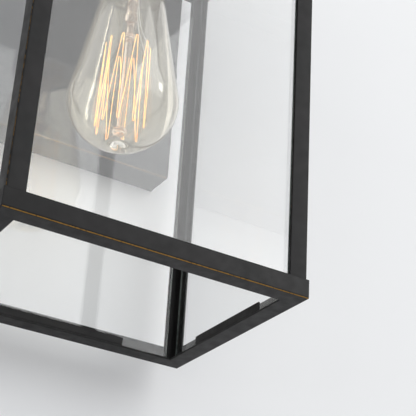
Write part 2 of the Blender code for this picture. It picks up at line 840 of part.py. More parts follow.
def side_screw(name, side):
    """A thumb screw through the plate's side into the strap's end, with a fluted head."""
    outside = GAP
    crown = outside + SIDE_SCREW_HEAD_LENGTH
    inside = -(PLATE_WIDTH / 2 - STRAP_LENGTH / 2 + STRAP_SHEET + 0.001)
    profile = [
        (0, inside),
        (SIDE_SCREW_RADIUS - 0.0005, inside),
        (SIDE_SCREW_RADIUS, inside + 0.0005),
        (SIDE_SCREW_RADIUS, outside),
        (SIDE_SCREW_HEAD, outside),
        (SIDE_SCREW_HEAD, crown - 0.0012),
        (SIDE_SCREW_HEAD - 0.0012, crown),
        (0, crown),
    ]
    item = finish_object(name, turned(name, profile, 24), "bronze")
    item.rotation_euler = (0, side * math.pi / 2, 0)
    item.location = (side * PLATE_WIDTH / 2, SCREW_Y, 0)


def link_screw(name, side):
    """A pan-head screw from inside the wall plate into the cage's top back rail."""
    head = PLATE_FRONT + PLATE_SHEET + GAP
    tip = CAGE_BACK - RING_SHEET - 0.0002
    profile = [
        (0, head - tip),
        (LINK_SCREW_RADIUS, head - tip),
        (LINK_SCREW_RADIUS, 0),
        (LINK_SCREW_HEAD, 0),
        (LINK_SCREW_HEAD - 0.0002, -0.0016),
        (0.0016, -0.0024),
        (0, -0.0024),
    ]
    item = finish_object(name, turned(name, profile, 16), "steel")
    item.rotation_euler = (math.pi / 2, 0, 0)
    item.location = (side * LINK_SPREAD, head, LINK_SCREW_HEIGHT)


def wire_grommet():
    """The rubber bush in the hole where the supply wires pass to the roof."""
    bore = WIRE_HOLE_RADIUS - GROMMET_WALL
    neck = WIRE_HOLE_RADIUS - GAP
    lip = neck + GROMMET_LIP
    back = PLATE_SHEET + GAP
    end = back + 0.002
    profile = [(bore, -GAP), (neck, -GAP), (neck, back), (lip, back), (lip, end), (bore, end)]
    item = finish_object("wire_grommet", turned("wire_grommet", profile, 16), "foam")
    item.rotation_euler = (-math.pi / 2, 0, 0)
    item.location = (0, PLATE_FRONT, WIRE_HEIGHT)


def build_wall_side():
    """The plate, the gasket, the strap and their fasteners."""
    wall_plate()
    wall_gasket()
    mounting_strap()
    ground_screw()
    wire_grommet()
    for side, label in ((-1, "left"), (1, "right")):
        side_screw("side_screw_" + label, side)
        link_screw("link_screw_" + label, side)


def main():
    """Build the whole lantern."""
    clear_scene()
    build_wall_side()
    root = cage_root()
    build_cage(root)
    build_roof(root)
    build_socket(root)
    bulb_root = bpy.data.objects.new("bulb", None)
    bulb_root.parent = root
    bpy.context.scene.collection.objects.link(bulb_root)
    build_bulb(bulb_root)


main()
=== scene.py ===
"""Looks of the outdoor wall lantern: its finished pieces, the wall, the light and the camera."""

import logging
import math
from dataclasses import dataclass, field
from enum import Enum

import bmesh
import bpy
from mathutils import Matrix, Vector


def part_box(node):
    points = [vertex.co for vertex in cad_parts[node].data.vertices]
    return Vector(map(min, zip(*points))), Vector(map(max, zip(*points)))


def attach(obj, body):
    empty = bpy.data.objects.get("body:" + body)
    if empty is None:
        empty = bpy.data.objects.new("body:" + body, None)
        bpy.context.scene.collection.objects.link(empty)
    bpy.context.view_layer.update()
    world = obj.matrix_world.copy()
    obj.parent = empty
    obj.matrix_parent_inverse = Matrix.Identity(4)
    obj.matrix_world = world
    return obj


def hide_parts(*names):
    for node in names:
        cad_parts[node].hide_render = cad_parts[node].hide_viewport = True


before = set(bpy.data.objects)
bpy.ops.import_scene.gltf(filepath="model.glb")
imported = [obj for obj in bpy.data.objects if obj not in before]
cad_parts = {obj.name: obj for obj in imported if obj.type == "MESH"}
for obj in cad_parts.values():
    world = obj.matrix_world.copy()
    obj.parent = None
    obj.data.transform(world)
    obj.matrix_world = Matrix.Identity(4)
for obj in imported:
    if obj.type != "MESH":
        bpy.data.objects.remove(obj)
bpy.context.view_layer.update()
LOG = logging.getLogger("lantern")
MM = 0.001
WEAR = "wear"
# wear at the inner end of a painted shade line, as a share of the arc's wear
SHADE_BORDER_SHARE = 0.3
BULB_MIDDLE = (0.0, -0.09, -0.08)
Colour = tuple[float, float, float]
Triple = tuple[float, float, float]
Pair = tuple[float, float]
Outline = list[tuple[float, float, float]]
Socket = bpy.types.NodeSocket


class Side(Enum):
    """The cage's four sides, each with its turn about the vertical in quarter turns."""

    FRONT = 0
    RIGHT = 1
    BACK = 2
    LEFT = 3

    @property
    def label(self) -> str:
        """The side's name as the frame's nodes spell it."""
        return self.name.lower()

    @property
    def along_x(self) -> bool:
        """True where the side runs along X."""
        return self in (Side.FRONT, Side.BACK)


# ---------------------------------------------------------------- finishes
@dataclass
class Nodes:
    """A material's node tree with short ways to add to it."""

    material: bpy.types.Material
    shader: bpy.types.ShaderNode = field(init=False)

    def __post_init__(self) -> None:
        """Find the tree's Principled shader."""
        self.material.use_nodes = True
        self.shader = self.tree.nodes["Principled BSDF"]

    @property
    def tree(self) -> bpy.types.NodeTree:
        """The material's node tree."""
        return self.material.node_tree

    def add(self, kind: str, **settings: object) -> bpy.types.ShaderNode:
        """Add a node.

        Args:
            kind: the node's type, without its ShaderNode prefix.
            settings: attributes to set on it.

        Returns:
            The new node.
        """
        node = self.tree.nodes.new("ShaderNode" + kind)
        for name, value in settings.items():
            setattr(node, name, value)
        return node

    def link(self, source: Socket, target: Socket) -> None:
        """Join an output to an input."""
        self.tree.links.new(source, target)

    def set(self, **values: object) -> None:
        """Set plain values on the shader; underscores stand for the spaces in a socket's name."""
        for name, value in values.items():
            self.shader.inputs[name.replace("_", " ")].default_value = value

    def noise(self, scale: float, detail: float = 3.0, stretch: Triple = (1, 1, 1)) -> Socket:
        """A noise on Object coordinates.

        Args:
            scale: features in a metre.
            detail: octaves.
            stretch: how many times finer the noise is along each axis.

        Returns:
            The noise's value output.
        """
        place = self.add("TexCoord")
        mapping = self.add("Mapping")
        mapping.inputs["Scale"].default_value = stretch
        noise = self.add("TexNoise")
        noise.inputs["Scale"].default_value = scale
        noise.inputs["Detail"].default_value = detail
        self.link(place.outputs["Object"], mapping.inputs["Vector"])
        self.link(mapping.outputs["Vector"], noise.inputs["Vector"])
        return noise.outputs["Fac"]

    def ramp(self, value: Socket, low: float, high: float, span: Pair = (0.35, 0.65)) -> Socket:
        """Map a span of a value to a new range.

        Args:
            value: the socket to map.
            low: the result at the span's start.
            high: the result at the span's end.
            span: the part of the value's range that is mapped.

        Returns:
            The mapped value.
        """
        node = self.add("MapRange")
        self.link(value, node.inputs["Value"])
        for name, number in zip(("From Min", "From Max", "To Min", "To Max"), (*span, low, high)):
            node.inputs[name].default_value = number
        return node.outputs["Result"]

    def blend(self, share: Socket, first: object, second: object) -> Socket:
        """Mix two colours, each a plain colour or a socket, by a share.

        Returns:
            The mixed colour.
        """
        node = self.add("Mix", data_type="RGBA")
        self.link(share, node.inputs["Factor"])
        for name, colour in (("A", first), ("B", second)):
            slot = next(s for s in node.inputs if s.name == name and s.type == "RGBA")
            if isinstance(colour, Socket):
                self.link(colour, slot)
            else:
                slot.default_value = (*colour, 1.0)
        return next(s for s in node.outputs if s.type == "RGBA")

    def bump(self, height: Socket, distance: float) -> None:
        """Raise the surface by a height, in metres at full value."""
        node = self.add("Bump")
        node.inputs["Distance"].default_value = distance
        node.inputs["Strength"].default_value = 1.0
        self.link(height, node.inputs["Height"])
        self.link(node.outputs["Normal"], self.shader.inputs["Normal"])

    def clear_to_lamps(self, tint: Colour) -> None:
        """Let lamp light and scattered light pass straight through the glass."""
        path = self.add("LightPath")
        either = self.add("Math", operation="MAXIMUM")
        open_air = self.add("BsdfTransparent")
        open_air.inputs["Color"].default_value = (*tint, 1.0)
        mix = self.add("MixShader")
        output = next(n for n in self.tree.nodes if n.type == "OUTPUT_MATERIAL")
        self.link(path.outputs["Is Shadow Ray"], either.inputs[0])
        self.link(path.outputs["Is Diffuse Ray"], either.inputs[1])
        self.link(either.outputs["Value"], mix.inputs["Fac"])
        self.link(self.shader.outputs["BSDF"], mix.inputs[1])
        self.link(open_air.outputs["BSDF"], mix.inputs[2])
        self.link(mix.outputs["Shader"], output.inputs["Surface"])


@dataclass(frozen=True)
class RubbedBronze:
    """Dark bronze paint with a fine grain, rubbed through to bright metal where it is worn, with
    painted shade as a near-black line where the wear fades out.
    """

    dark: Colour = (0.0105, 0.0109, 0.0108)
    warm: Colour = (0.0138, 0.0124, 0.0128)
    # painted shade: the near-black line where the wear fades out beside a rubbed arris
    shade_border: Colour = (0.0016, 0.0015, 0.0014)
    metal: Colour = (0.300, 0.165, 0.036)
    roughness: Pair = (0.44, 0.56)
    gloss: float = 0.18
    grain: float = 5200.0
    grain_height: float = 0.012 * MM

    def material(self, name: str) -> bpy.types.Material:
        """The finish as a material."""
        made = Nodes(bpy.data.materials.new(name))
        cloud = made.noise(26.0, 5.0)
        speck = made.noise(900.0, 2.0)
        paint = made.blend(made.ramp(cloud, 0.0, 1.0), self.dark, self.warm)
        wear = made.add("Attribute", attribute_name=WEAR)
        rubbed = made.add("Math", operation="MULTIPLY")
        made.link(wear.outputs["Fac"], rubbed.inputs[0])
        made.link(made.ramp(speck, 0.75, 1.15, (0.3, 0.6)), rubbed.inputs[1])
        # painted shade: where the wear is faint the paint turns near-black, a line beside each
        # rubbed arris
        shade_fringe = made.ramp(wear.outputs["Fac"], 0.0, 1.0, (0.02, 0.16))
        shaded_paint = made.blend(shade_fringe, paint, self.shade_border)
        share = made.ramp(rubbed.outputs["Value"], 0.0, 1.0, (0.56, 0.98))
        made.link(made.blend(share, shaded_paint, self.metal), made.shader.inputs["Base Color"])
        sheen = made.ramp(made.noise(160.0, 4.0), *self.roughness)
        made.link(sheen, made.shader.inputs["Roughness"])
        made.set(Specular_IOR_Level=self.gloss)
        made.link(made.ramp(share, 0.0, 0.85, (0.0, 1.0)), made.shader.inputs["Metallic"])
        made.bump(made.noise(self.grain, 2.0), self.grain_height)
        return made.material


@dataclass(frozen=True)
class ClearGlass:
    """Clear glass with a faint tint and the slightest ripple; painted_glow sets painted light, a
    faint emission from the glass though it is no lamp.
    """

    tint: Colour = (0.975, 0.978, 0.977)
    edge_tint: Colour = (0.95, 0.97, 0.96)
    ior: float = 1.55
    ripple: float = 0.0004 * MM
    waves: float = 14.0
    stretch: Triple = (1.0, 1.0, 1.0)
    haze: float = 0.001
    # painted light: strength of a faint emission from the glass, standing in for the lit bulb's
    # light in it
    painted_glow: float = 0.0
    painted_glow_colour: Colour = (1.0, 0.90, 0.72)

    def material(self, name: str) -> bpy.types.Material:
        """The finish as a material."""
        made = Nodes(bpy.data.materials.new(name))
        made.set(Metallic=0.0, IOR=self.ior, Transmission_Weight=1.0)
        facing = made.add("LayerWeight").outputs["Facing"]
        tint = made.blend(made.ramp(facing, 0.0, 1.0, (0.55, 1.0)), self.tint, self.edge_tint)
        made.link(tint, made.shader.inputs["Base Color"])
        made.link(made.ramp(made.noise(30.0), 0.0, self.haze), made.shader.inputs["Roughness"])
        made.bump(made.noise(self.waves, 1.0, self.stretch), self.ripple)
        # painted light: the glass emits though it is no lamp
        if self.painted_glow:
            made.set(Emission_Color=(*self.painted_glow_colour, 1.0), Emission_Strength=self.painted_glow)
        made.clear_to_lamps(self.tint)
        return made.material


@dataclass(frozen=True)
class GroundEdge:
    """The ground edge of a pane: frosted and green from the depth of the glass behind it."""

    pale: Colour = (0.095, 0.115, 0.105)
    deep: Colour = (0.030, 0.040, 0.036)

    def material(self, name: str) -> bpy.types.Material:
        """The finish as a material."""
        made = Nodes(bpy.data.materials.new(name))
        streak = made.noise(240.0, 3.0, (1.0, 1.0, 0.12))
        depth = made.blend(made.ramp(streak, 0.0, 1.0), self.deep, self.pale)
        made.link(depth, made.shader.inputs["Base Color"])
        made.link(made.ramp(made.noise(700.0), 0.22, 0.42), made.shader.inputs["Roughness"])
        made.set(Metallic=0.0, IOR=1.5)
        made.bump(made.noise(2600.0), 0.02 * MM)
        return made.material


@dataclass(frozen=True)
class GlowingWire:
    """Tungsten at a dull red heat, hotter and cooler in random patches along it."""

    hot: Colour = (1.0, 0.66, 0.22)
    cool: Colour = (1.0, 0.42, 0.10)
    strength: float = 1.7

    def material(self, name: str) -> bpy.types.Material:
        """The finish as a material."""
        made = Nodes(bpy.data.materials.new(name))
        heat = made.blend(made.ramp(made.noise(110.0, 2.0), 0.0, 1.0), self.cool, self.hot)
        made.link(heat, made.shader.inputs["Emission Color"])
        made.set(Base_Color=(0.35, 0.16, 0.05, 1.0), Emission_Strength=self.strength, Metallic=0.4)
        made.link(made.ramp(made.noise(500.0), 0.3, 0.5), made.shader.inputs["Roughness"])
        return made.material


@dataclass(frozen=True)
class PlainMetal:
    """Bare metal with a drawn grain and a little tarnish."""

    bright: Colour = (0.60, 0.61, 0.62)
    dull: Colour = (0.42, 0.43, 0.44)
    roughness: Pair = (0.26, 0.42)
    stretch: Triple = (1.0, 1.0, 1.0)

    def material(self, name: str) -> bpy.types.Material:
        """The finish as a material."""
        made = Nodes(bpy.data.materials.new(name))
        tarnish = made.blend(made.ramp(made.noise(90.0, 4.0), 0.0, 1.0), self.bright, self.dull)
        made.link(tarnish, made.shader.inputs["Base Color"])
        made.set(Metallic=1.0)
        polish = made.ramp(made.noise(420.0, 3.0, self.stretch), *self.roughness)
        made.link(polish, made.shader.inputs["Roughness"])
        made.bump(made.noise(1800.0, 2.0, self.stretch), 0.006 * MM)
        return made.material


@dataclass(frozen=True)
class DullSolid:
    """Rubber, foam, porcelain or black glass: a plain body with fine pores and a cloudy gloss."""

    light: Colour
    shade: Colour
    roughness: Pair
    pores: float = 1500.0
    depth: float = 0.03 * MM

    def material(self, name: str) -> bpy.types.Material:
        """The finish as a material."""
        made = Nodes(bpy.data.materials.new(name))
        body = made.blend(made.ramp(made.noise(60.0, 4.0), 0.0, 1.0), self.light, self.shade)
        made.link(body, made.shader.inputs["Base Color"])
        made.link(made.ramp(made.noise(220.0), *self.roughness), made.shader.inputs["Roughness"])
        made.bump(made.noise(self.pores), self.depth)
        return made.material


@dataclass(frozen=True)
class Plaster:
    """Pale painted wall or floor; open from behind, so that the back of the lantern shows."""

    colour: Colour = (0.86, 0.865, 0.87)
    open_behind: bool = True

    def material(self, name: str) -> bpy.types.Material:
        """The finish as a material."""
        made = Nodes(bpy.data.materials.new(name))
        made.set(Base_Color=(*self.colour, 1.0), Roughness=0.85)
        made.bump(made.noise(300.0, 4.0), 0.02 * MM)
        if self.open_behind:
            side = made.add("NewGeometry")
            clear = made.add("BsdfTransparent")
            mix = made.add("MixShader")
            output = next(n for n in made.tree.nodes if n.type == "OUTPUT_MATERIAL")
            made.link(side.outputs["Backfacing"], mix.inputs["Fac"])
            made.link(made.shader.outputs["BSDF"], mix.inputs[1])
            made.link(clear.outputs["BSDF"], mix.inputs[2])
            made.link(mix.outputs["Shader"], output.inputs["Surface"])
        return made.material


class Shop:
    """The finishes as materials, each made once."""

    KINDS = {
        "bronze": RubbedBronze(),
        "pane_glass": ClearGlass(),
        "ground_edge": GroundEdge(),
        "bulb_glass": ClearGlass(
            tint=(0.985, 0.965, 0.895),
            edge_tint=(0.80, 0.72, 0.56),
            ior=1.5,
            ripple=0.16 * MM,
            waves=70.0,
            stretch=(1.0, 1.0, 0.16),
            haze=0.0,
            # painted light: a faint warm emission from the bulb glass
            painted_glow=0.030,
        ),
        "stem_glass": ClearGlass(
            tint=(0.99, 0.93, 0.88),
            edge_tint=(0.85, 0.66, 0.55),
            ior=1.5,
            ripple=0.02 * MM,
            waves=160.0,
            haze=0.01,
            # painted light: a faint peach emission from the stem and beads
            painted_glow=0.035,
            painted_glow_colour=(1.0, 0.60, 0.42),
        ),
        "filament": GlowingWire(),
        # painted light: the hook wires emit a dim orange light, though only the filament is a lamp
        "painted_glow_hook": GlowingWire((1.0, 0.52, 0.16), (1.0, 0.34, 0.10), 0.55),
        "brass": PlainMetal((0.74, 0.56, 0.27), (0.52, 0.37, 0.16), (0.24, 0.40)),
        "steel": PlainMetal(),
        "foam": DullSolid(
            light=(0.030, 0.030, 0.031),
            shade=(0.020, 0.020, 0.021),
            roughness=(0.80, 0.95),
            pores=2400.0,
            depth=0.08 * MM,
        ),
        "rubber": DullSolid((0.034, 0.034, 0.034), (0.022, 0.022, 0.022), (0.55, 0.70)),
        "porcelain": DullSolid(
            light=(0.83, 0.81, 0.76),
            shade=(0.76, 0.73, 0.67),
            roughness=(0.12, 0.24),
            pores=260.0,
            depth=0.01 * MM,
        ),
        "black_glass": DullSolid(
            light=(0.020, 0.020, 0.024),
            shade=(0.012, 0.012, 0.016),
            roughness=(0.08, 0.18),
            pores=400.0,
            depth=0.01 * MM,
        ),
        "wall": Plaster(),
        "floor": Plaster(colour=(0.58, 0.57, 0.58), open_behind=False),
    }

    def __init__(self) -> None:
        """Start with nothing made."""
        self.made: dict[str, bpy.types.Material] = {}

    def get(self, kind: str) -> bpy.types.Material:
        """The material of a kind, made on first use."""
        if kind not in self.made:
            self.made[kind] = self.KINDS[kind].material(kind)
        return self.made[kind]


SHOP = Shop()


# ---------------------------------------------------------------- mesh work
@dataclass(frozen=True)
class Level:
    """One rectangle of a lofted shape, centred on the shape's axis."""

    half_x: float
    half_y: float
    height: float
    rounding: float = 0.0
    wear: float = 0.0


class Loft:
    """A bmesh with helpers, and a wear value on each face corner."""

    CORNER_STEPS = 4
    MERGED = 1e-7
    SHARP = 1e-6

    def __init__(self) -> None:
        """Start an empty shape."""
        self.shape = bmesh.new()
        self.wear = self.shape.loops.layers.float.new(WEAR)

    def face(self, verts: list[bmesh.types.BMVert], wear: list[float]) -> None:
        """Add a face with a wear value for each corner, unless it has shrunk to a line."""
        kept = [(v, w) for i, (v, w) in enumerate(zip(verts, wear)) if v is not verts[i - 1]]
        if len({v for v, _ in kept}) < 3:
            return
        made = self.shape.faces.new([v for v, _ in kept])
        for loop, (_, value) in zip(made.loops, kept):
            loop[self.wear] = value

    def ring(self, level: Level, centre: Vector) -> list[bmesh.types.BMVert]:
        """The vertices of a rectangle with round corners; at a sharp corner they are all one."""
        verts: list[bmesh.types.BMVert] = []
        for quarter, (sx, sy) in enumerate(((-1, -1), (1, -1), (1, 1), (-1, 1))):
            x = sx * (level.half_x - level.rounding)
            y = sy * (level.half_y - level.rounding)
            if level.rounding < self.SHARP:
                sharp = self.shape.verts.new(centre + Vector((x, y, level.height)))
                verts += [sharp] * (self.CORNER_STEPS + 1)
                continue
            for step in range(self.CORNER_STEPS + 1):
                angle = math.pi + quarter * math.pi / 2 + math.pi / 2 * step / self.CORNER_STEPS
                across = Vector((math.cos(angle), math.sin(angle), 0)) * level.rounding
                verts.append(self.shape.verts.new(centre + Vector((x, y, level.height)) + across))
        return verts

    def rectangles(
        self, levels: list[Level], centre: Vector, shares: tuple[float, ...], closed: bool
    ) -> None:
        """Loft rectangles.

        Args:
            levels: the rectangles, in order round the section or from one cap to the other.
            centre: the axis, at height zero.
            shares: how much of its wear each side shows, from the front, anticlockwise from above.
            closed: True to join the last level to the first, False to cap both.
        """
        rings = [self.ring(level, centre) for level in levels]
        count = 4 * (self.CORNER_STEPS + 1)
        pairs = list(zip(range(len(rings)), range(1, len(rings))))
        if closed:
            pairs.append((len(rings) - 1, 0))
        for a, b in pairs:
            for i in range(count):
                j = (i + 1) % count
                step = i % (self.CORNER_STEPS + 1)
                quarter = i // (self.CORNER_STEPS + 1)
                if step == self.CORNER_STEPS:
                    share = shares[quarter]
                else:
                    share = min(shares[quarter], shares[quarter - 1])
                first, second = levels[a].wear * share, levels[b].wear * share
                around = [rings[a][i], rings[a][j], rings[b][j], rings[b][i]]
                self.face(around, [first, first, second, second])
        if not closed:
            for ring in (rings[0], rings[-1]):
                once = list(dict.fromkeys(ring))
                self.face(once, [0.0] * len(once))

    def extrusion(self, outline: Outline, low: float, high: float, place: Matrix) -> None:
        """A straight bar of an outline of (x, y, wear) between two heights, both ends capped."""
        rings = []
        for height in (low, high):
            points = [place @ Vector((x, y, height)) for x, y, _ in outline]
            rings.append([self.shape.verts.new(point) for point in points])
        count = len(outline)
        for i in range(count):
            j = (i + 1) % count
            first, second = outline[i][2], outline[j][2]
            around = [rings[0][i], rings[0][j], rings[1][j], rings[1][i]]
            self.face(around, [first, second, second, first])
        for ring in rings:
            self.face(ring, [0.0] * count)

    def lathe(
        self, profile: list[Pair], place: Matrix, segments: int = 64, wear: float = 0.0
    ) -> None:
        """Turn an outline of (radius, height) about the local Z, joining its end to its start.

        Args:
            profile: the outline.
            place: where the axis and its zero stand.
            segments: faces round the axis.
            wear: the wear all over.
        """
        loops = []
        for radius, height in profile:
            if radius < self.MERGED:
                loops.append([self.shape.verts.new(place @ Vector((0, 0, height)))] * segments)
                continue
            angles = [2 * math.pi * i / segments for i in range(segments)]
            points = [Vector((radius * math.cos(a), radius * math.sin(a), height)) for a in angles]
            loops.append([self.shape.verts.new(place @ point) for point in points])
        for lower, upper in zip(loops, loops[1:] + loops[:1]):
            for i in range(segments):
                j = (i + 1) % segments
                self.face([lower[i], lower[j], upper[j], upper[i]], [wear] * 4)

    def piece(self, name: str, finish: str, smooth: float = 35.0) -> bpy.types.Object:
        """Close the shape into an object.

        Args:
            name: the object's name.
            finish: its material's kind.
            smooth: the angle in degrees past which an edge stays sharp.

        Returns:
            The object, at the origin.
        """
        bmesh.ops.remove_doubles(self.shape, verts=self.shape.verts[:], dist=self.MERGED)
        bmesh.ops.recalc_face_normals(self.shape, faces=self.shape.faces[:])
        mesh = bpy.data.meshes.new(name)
        self.shape.to_mesh(mesh)
        self.shape.free()
        mesh.materials.append(SHOP.get(finish))
        mesh.shade_smooth()
        mesh.set_sharp_from_angle(angle=math.radians(smooth))
        made = bpy.data.objects.new(name, mesh)
        bpy.context.scene.collection.objects.link(made)
        return made


def arc(centre: Pair, radius: float, start: float, end: float, steps: int = 4) -> list[Pair]:
    """Points of an arc, with its ends; angles in degrees."""
    points = []
    for step in range(steps + 1):
        angle = math.radians(start + (end - start) * step / steps)
        points.append((centre[0] + radius * math.cos(angle), centre[1] + radius * math.sin(angle)))
    return points


def worn_arc(
    centre: Pair, radius: float, start: float, end: float, wear: float, shade_border: float = 0.0
) -> Outline:
    """An arris as an arc of points, worn in its middle.

    Args:
        centre: the arc's centre.
        radius: its radius.
        start: the angle of its first point, in degrees.
        end: the angle of its last point.
        wear: the wear in the arc's middle.
        shade_border: how far the wear fades out over the flats beside it, where it shows as a
            painted shade line; 0 where it ends on the arc.

    Returns:
        The points as (x, y, wear).
    """
    points = arc(centre, radius, start, end)
    last = len(points) - 1
    ends = SHADE_BORDER_SHARE * wear if shade_border else 0.0
    worn = [(x, y, ends if i in (0, last) else wear) for i, (x, y) in enumerate(points)]
    if shade_border:
        way = math.copysign(shade_border, end - start)
        first, final = math.radians(start), math.radians(end)
        before = (worn[0][0] + way * math.sin(first), worn[0][1] - way * math.cos(first), 0.0)
        after = (worn[-1][0] - way * math.sin(final), worn[-1][1] + way * math.cos(final), 0.0)
        worn = [before, *worn, after]
    return worn


def settle(piece: bpy.types.Object, body: str, slot: str, *nodes: str) -> bpy.types.Object:
    """Let a finished piece ride on a body and stand for CAD nodes."""
    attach(piece, body)
    if nodes:
        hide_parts(*nodes)
    LOG.info("%s: %d faces on %s", piece.name, len(piece.data.polygons), body)
    return piece


# ---------------------------------------------------------------- geometry nodes
class Tree:
    """A geometry node tree with named inputs, built in code."""

    def __init__(self, name: str) -> None:
        """Start a tree with a geometry input and a geometry output."""
        self.group = bpy.data.node_groups.new(name, "GeometryNodeTree")
        self.inputs: dict[str, str] = {}
        self.declare("Geometry", "NodeSocketGeometry")
        outputs = self.group.interface
        outputs.new_socket("Geometry", in_out="OUTPUT", socket_type="NodeSocketGeometry")
        self.source = self.group.nodes.new("NodeGroupInput")
        self.result = self.group.nodes.new("NodeGroupOutput")

    def declare(self, name: str, kind: str) -> None:
        """Add a named input of a socket type."""
        socket = self.group.interface.new_socket(name, in_out="INPUT", socket_type=kind)
        self.inputs[name] = socket.identifier

    def node(self, kind: str, **settings: object) -> bpy.types.Node:
        """Add a node and set attributes on it."""
        node = self.group.nodes.new(kind)
        for name, value in settings.items():
            setattr(node, name, value)
        return node

    def link(self, source: Socket, target: Socket) -> None:
        """Join an output to an input."""
        self.group.links.new(source, target)

    def finish(self, made: Socket) -> None:
        """End the tree: instances made real, then the material set."""
        real = self.node("GeometryNodeRealizeInstances")
        paint = self.node("GeometryNodeSetMaterial")
        self.link(made, real.inputs["Geometry"])
        self.link(real.outputs["Geometry"], paint.inputs["Geometry"])
        self.link(self.source.outputs["Material"], paint.inputs["Material"])
        self.link(paint.outputs["Geometry"], self.result.inputs["Geometry"])

    def apply(self, piece: bpy.types.Object, **values: object) -> bpy.types.Object:
        """Run the tree on a piece and keep the result as its plain mesh.

        Args:
            piece: the object whose geometry goes in.
            values: the inputs by name, with underscores for spaces.

        Returns:
            The same object.
        """
        modifier = piece.modifiers.new(self.group.name, "NODES")
        modifier.node_group = self.group
        for name, value in values.items():
            modifier[self.inputs[name.replace("_", " ")]] = value
        bpy.context.view_layer.update()
        evaluated = piece.evaluated_get(bpy.context.evaluated_depsgraph_get())
        mesh = bpy.data.meshes.new_from_object(evaluated)
        piece.modifiers.remove(modifier)
        old = piece.data
        piece.data = mesh
        mesh.name = piece.name
        bpy.data.meshes.remove(old)
        return piece


class WireTree(Tree):
    """A round wire along the piece's own edges."""

    def __init__(self) -> None:
        """Build the tree: edges to curve, curve to a capped tube."""
        super().__init__("wire_along_path")
        self.declare("Radius", "NodeSocketFloat")
        self.declare("Sides", "NodeSocketInt")
        self.declare("Material", "NodeSocketMaterial")
        curve = self.node("GeometryNodeMeshToCurve")
        ring = self.node("GeometryNodeCurvePrimitiveCircle")
        tube = self.node("GeometryNodeCurveToMesh")
        smooth = self.node("GeometryNodeSetShadeSmooth")
        tube.inputs["Fill Caps"].default_value = True
        self.link(self.source.outputs["Geometry"], curve.inputs["Mesh"])
        self.link(self.source.outputs["Radius"], ring.inputs["Radius"])
        self.link(self.source.outputs["Sides"], ring.inputs["Resolution"])
        self.link(curve.outputs["Curve"], tube.inputs["Curve"])
        self.link(ring.outputs["Curve"], tube.inputs["Profile Curve"])
        self.link(tube.outputs["Mesh"], smooth.inputs["Geometry"])
        self.finish(smooth.outputs["Geometry"])


class RadialTree(Tree):
    """The piece's own mesh repeated round the local Z axis."""

    def __init__(self) -> None:
        """Build the tree: points at the axis, an instance on each, turned by its index."""
        super().__init__("repeat_round_axis")
        self.declare("Count", "NodeSocketInt")
        self.declare("Start Angle", "NodeSocketFloat")
        self.declare("Material", "NodeSocketMaterial")
        points = self.node("GeometryNodeMeshLine")
        points.inputs["Offset"].default_value = (0, 0, 0)
        index = self.node("GeometryNodeInputIndex")
        step = self.node("ShaderNodeMath", operation="DIVIDE")
        step.inputs[0].default_value = 2 * math.pi
        angle = self.node("ShaderNodeMath", operation="MULTIPLY_ADD")
        turn = self.node("ShaderNodeCombineXYZ")
        copies = self.node("GeometryNodeInstanceOnPoints")
        self.link(self.source.outputs["Count"], points.inputs["Count"])
        self.link(self.source.outputs["Count"], step.inputs[1])
        self.link(index.outputs["Index"], angle.inputs[0])
        self.link(step.outputs["Value"], angle.inputs[1])
        self.link(self.source.outputs["Start Angle"], angle.inputs[2])
        self.link(angle.outputs["Value"], turn.inputs["Z"])
        self.link(points.outputs["Mesh"], copies.inputs["Points"])
        self.link(self.source.outputs["Geometry"], copies.inputs["Instance"])
        self.link(turn.outputs["Vector"], copies.inputs["Rotation"])
        self.finish(copies.outputs["Instances"])


class ThreadTree(Tree):
    """A rolled thread: a round bead that winds up the local Z axis."""

    def __init__(self) -> None:
        """Build the tree: a spiral and a round bead along it."""
        super().__init__("rolled_thread")
        for name in ("Radius", "Height", "Turns", "Bead"):
            self.declare(name, "NodeSocketFloat")
        self.declare("Material", "NodeSocketMaterial")
        spiral = self.node("GeometryNodeCurveSpiral")
        spiral.inputs["Resolution"].default_value = 36
        ring = self.node("GeometryNodeCurvePrimitiveCircle")
        ring.inputs["Resolution"].default_value = 8
        tube = self.node("GeometryNodeCurveToMesh")
        tube.inputs["Fill Caps"].default_value = True
        smooth = self.node("GeometryNodeSetShadeSmooth")
        self.link(self.source.outputs["Turns"], spiral.inputs["Rotations"])
        self.link(self.source.outputs["Radius"], spiral.inputs["Start Radius"])
        self.link(self.source.outputs["Radius"], spiral.inputs["End Radius"])
        self.link(self.source.outputs["Height"], spiral.inputs["Height"])
        self.link(self.source.outputs["Bead"], ring.inputs["Radius"])
        self.link(spiral.outputs["Curve"], tube.inputs["Curve"])
        self.link(ring.outputs["Curve"], tube.inputs["Profile Curve"])
        self.link(tube.outputs["Mesh"], smooth.inputs["Geometry"])
        self.finish(smooth.outputs["Geometry"])


@dataclass
class Trees:
    """The three trees, each built once."""

    wire: WireTree = field(default_factory=WireTree)
    radial: RadialTree = field(default_factory=RadialTree)
    thread: ThreadTree = field(default_factory=ThreadTree)


def path_piece(name: str, runs: list[list[Vector]]) -> bpy.types.Object:
    """An object whose mesh is only the edges along each run of points."""
    verts: list[Vector] = []
    edges: list[tuple[int, int]] = []
    for run in runs:
        first = len(verts)
        verts += run
        edges += [(first + i, first + i + 1) for i in range(len(run) - 1)]
    mesh = bpy.data.meshes.new(name)
    mesh.from_pydata(verts, edges, [])
    made = bpy.data.objects.new(name, mesh)
    bpy.context.scene.collection.objects.link(made)
    return made


def join_meshes(target: bpy.types.Object, *others: bpy.types.Object) -> bpy.types.Object:
    """Add other objects' meshes to the target's, keep each face's material, and drop the others."""
    shape = bmesh.new()
    materials: list[bpy.types.Material] = []
    for source in (target, *others):
        mesh = source.data
        mesh.transform(source.matrix_world)
        start = len(materials)
        materials += list(mesh.materials)
        count = len(shape.faces)
        shape.from_mesh(mesh)
        shape.faces.ensure_lookup_table()
        for face in shape.faces[count:]:
            face.material_index += start
    shape.to_mesh(target.data)
    shape.free()
    target.data.materials.clear()
    for material in materials:
        target.data.materials.append(material)
    target.matrix_world = Matrix.Identity(4)
    for other in others:
        bpy.data.objects.remove(other)
    return target


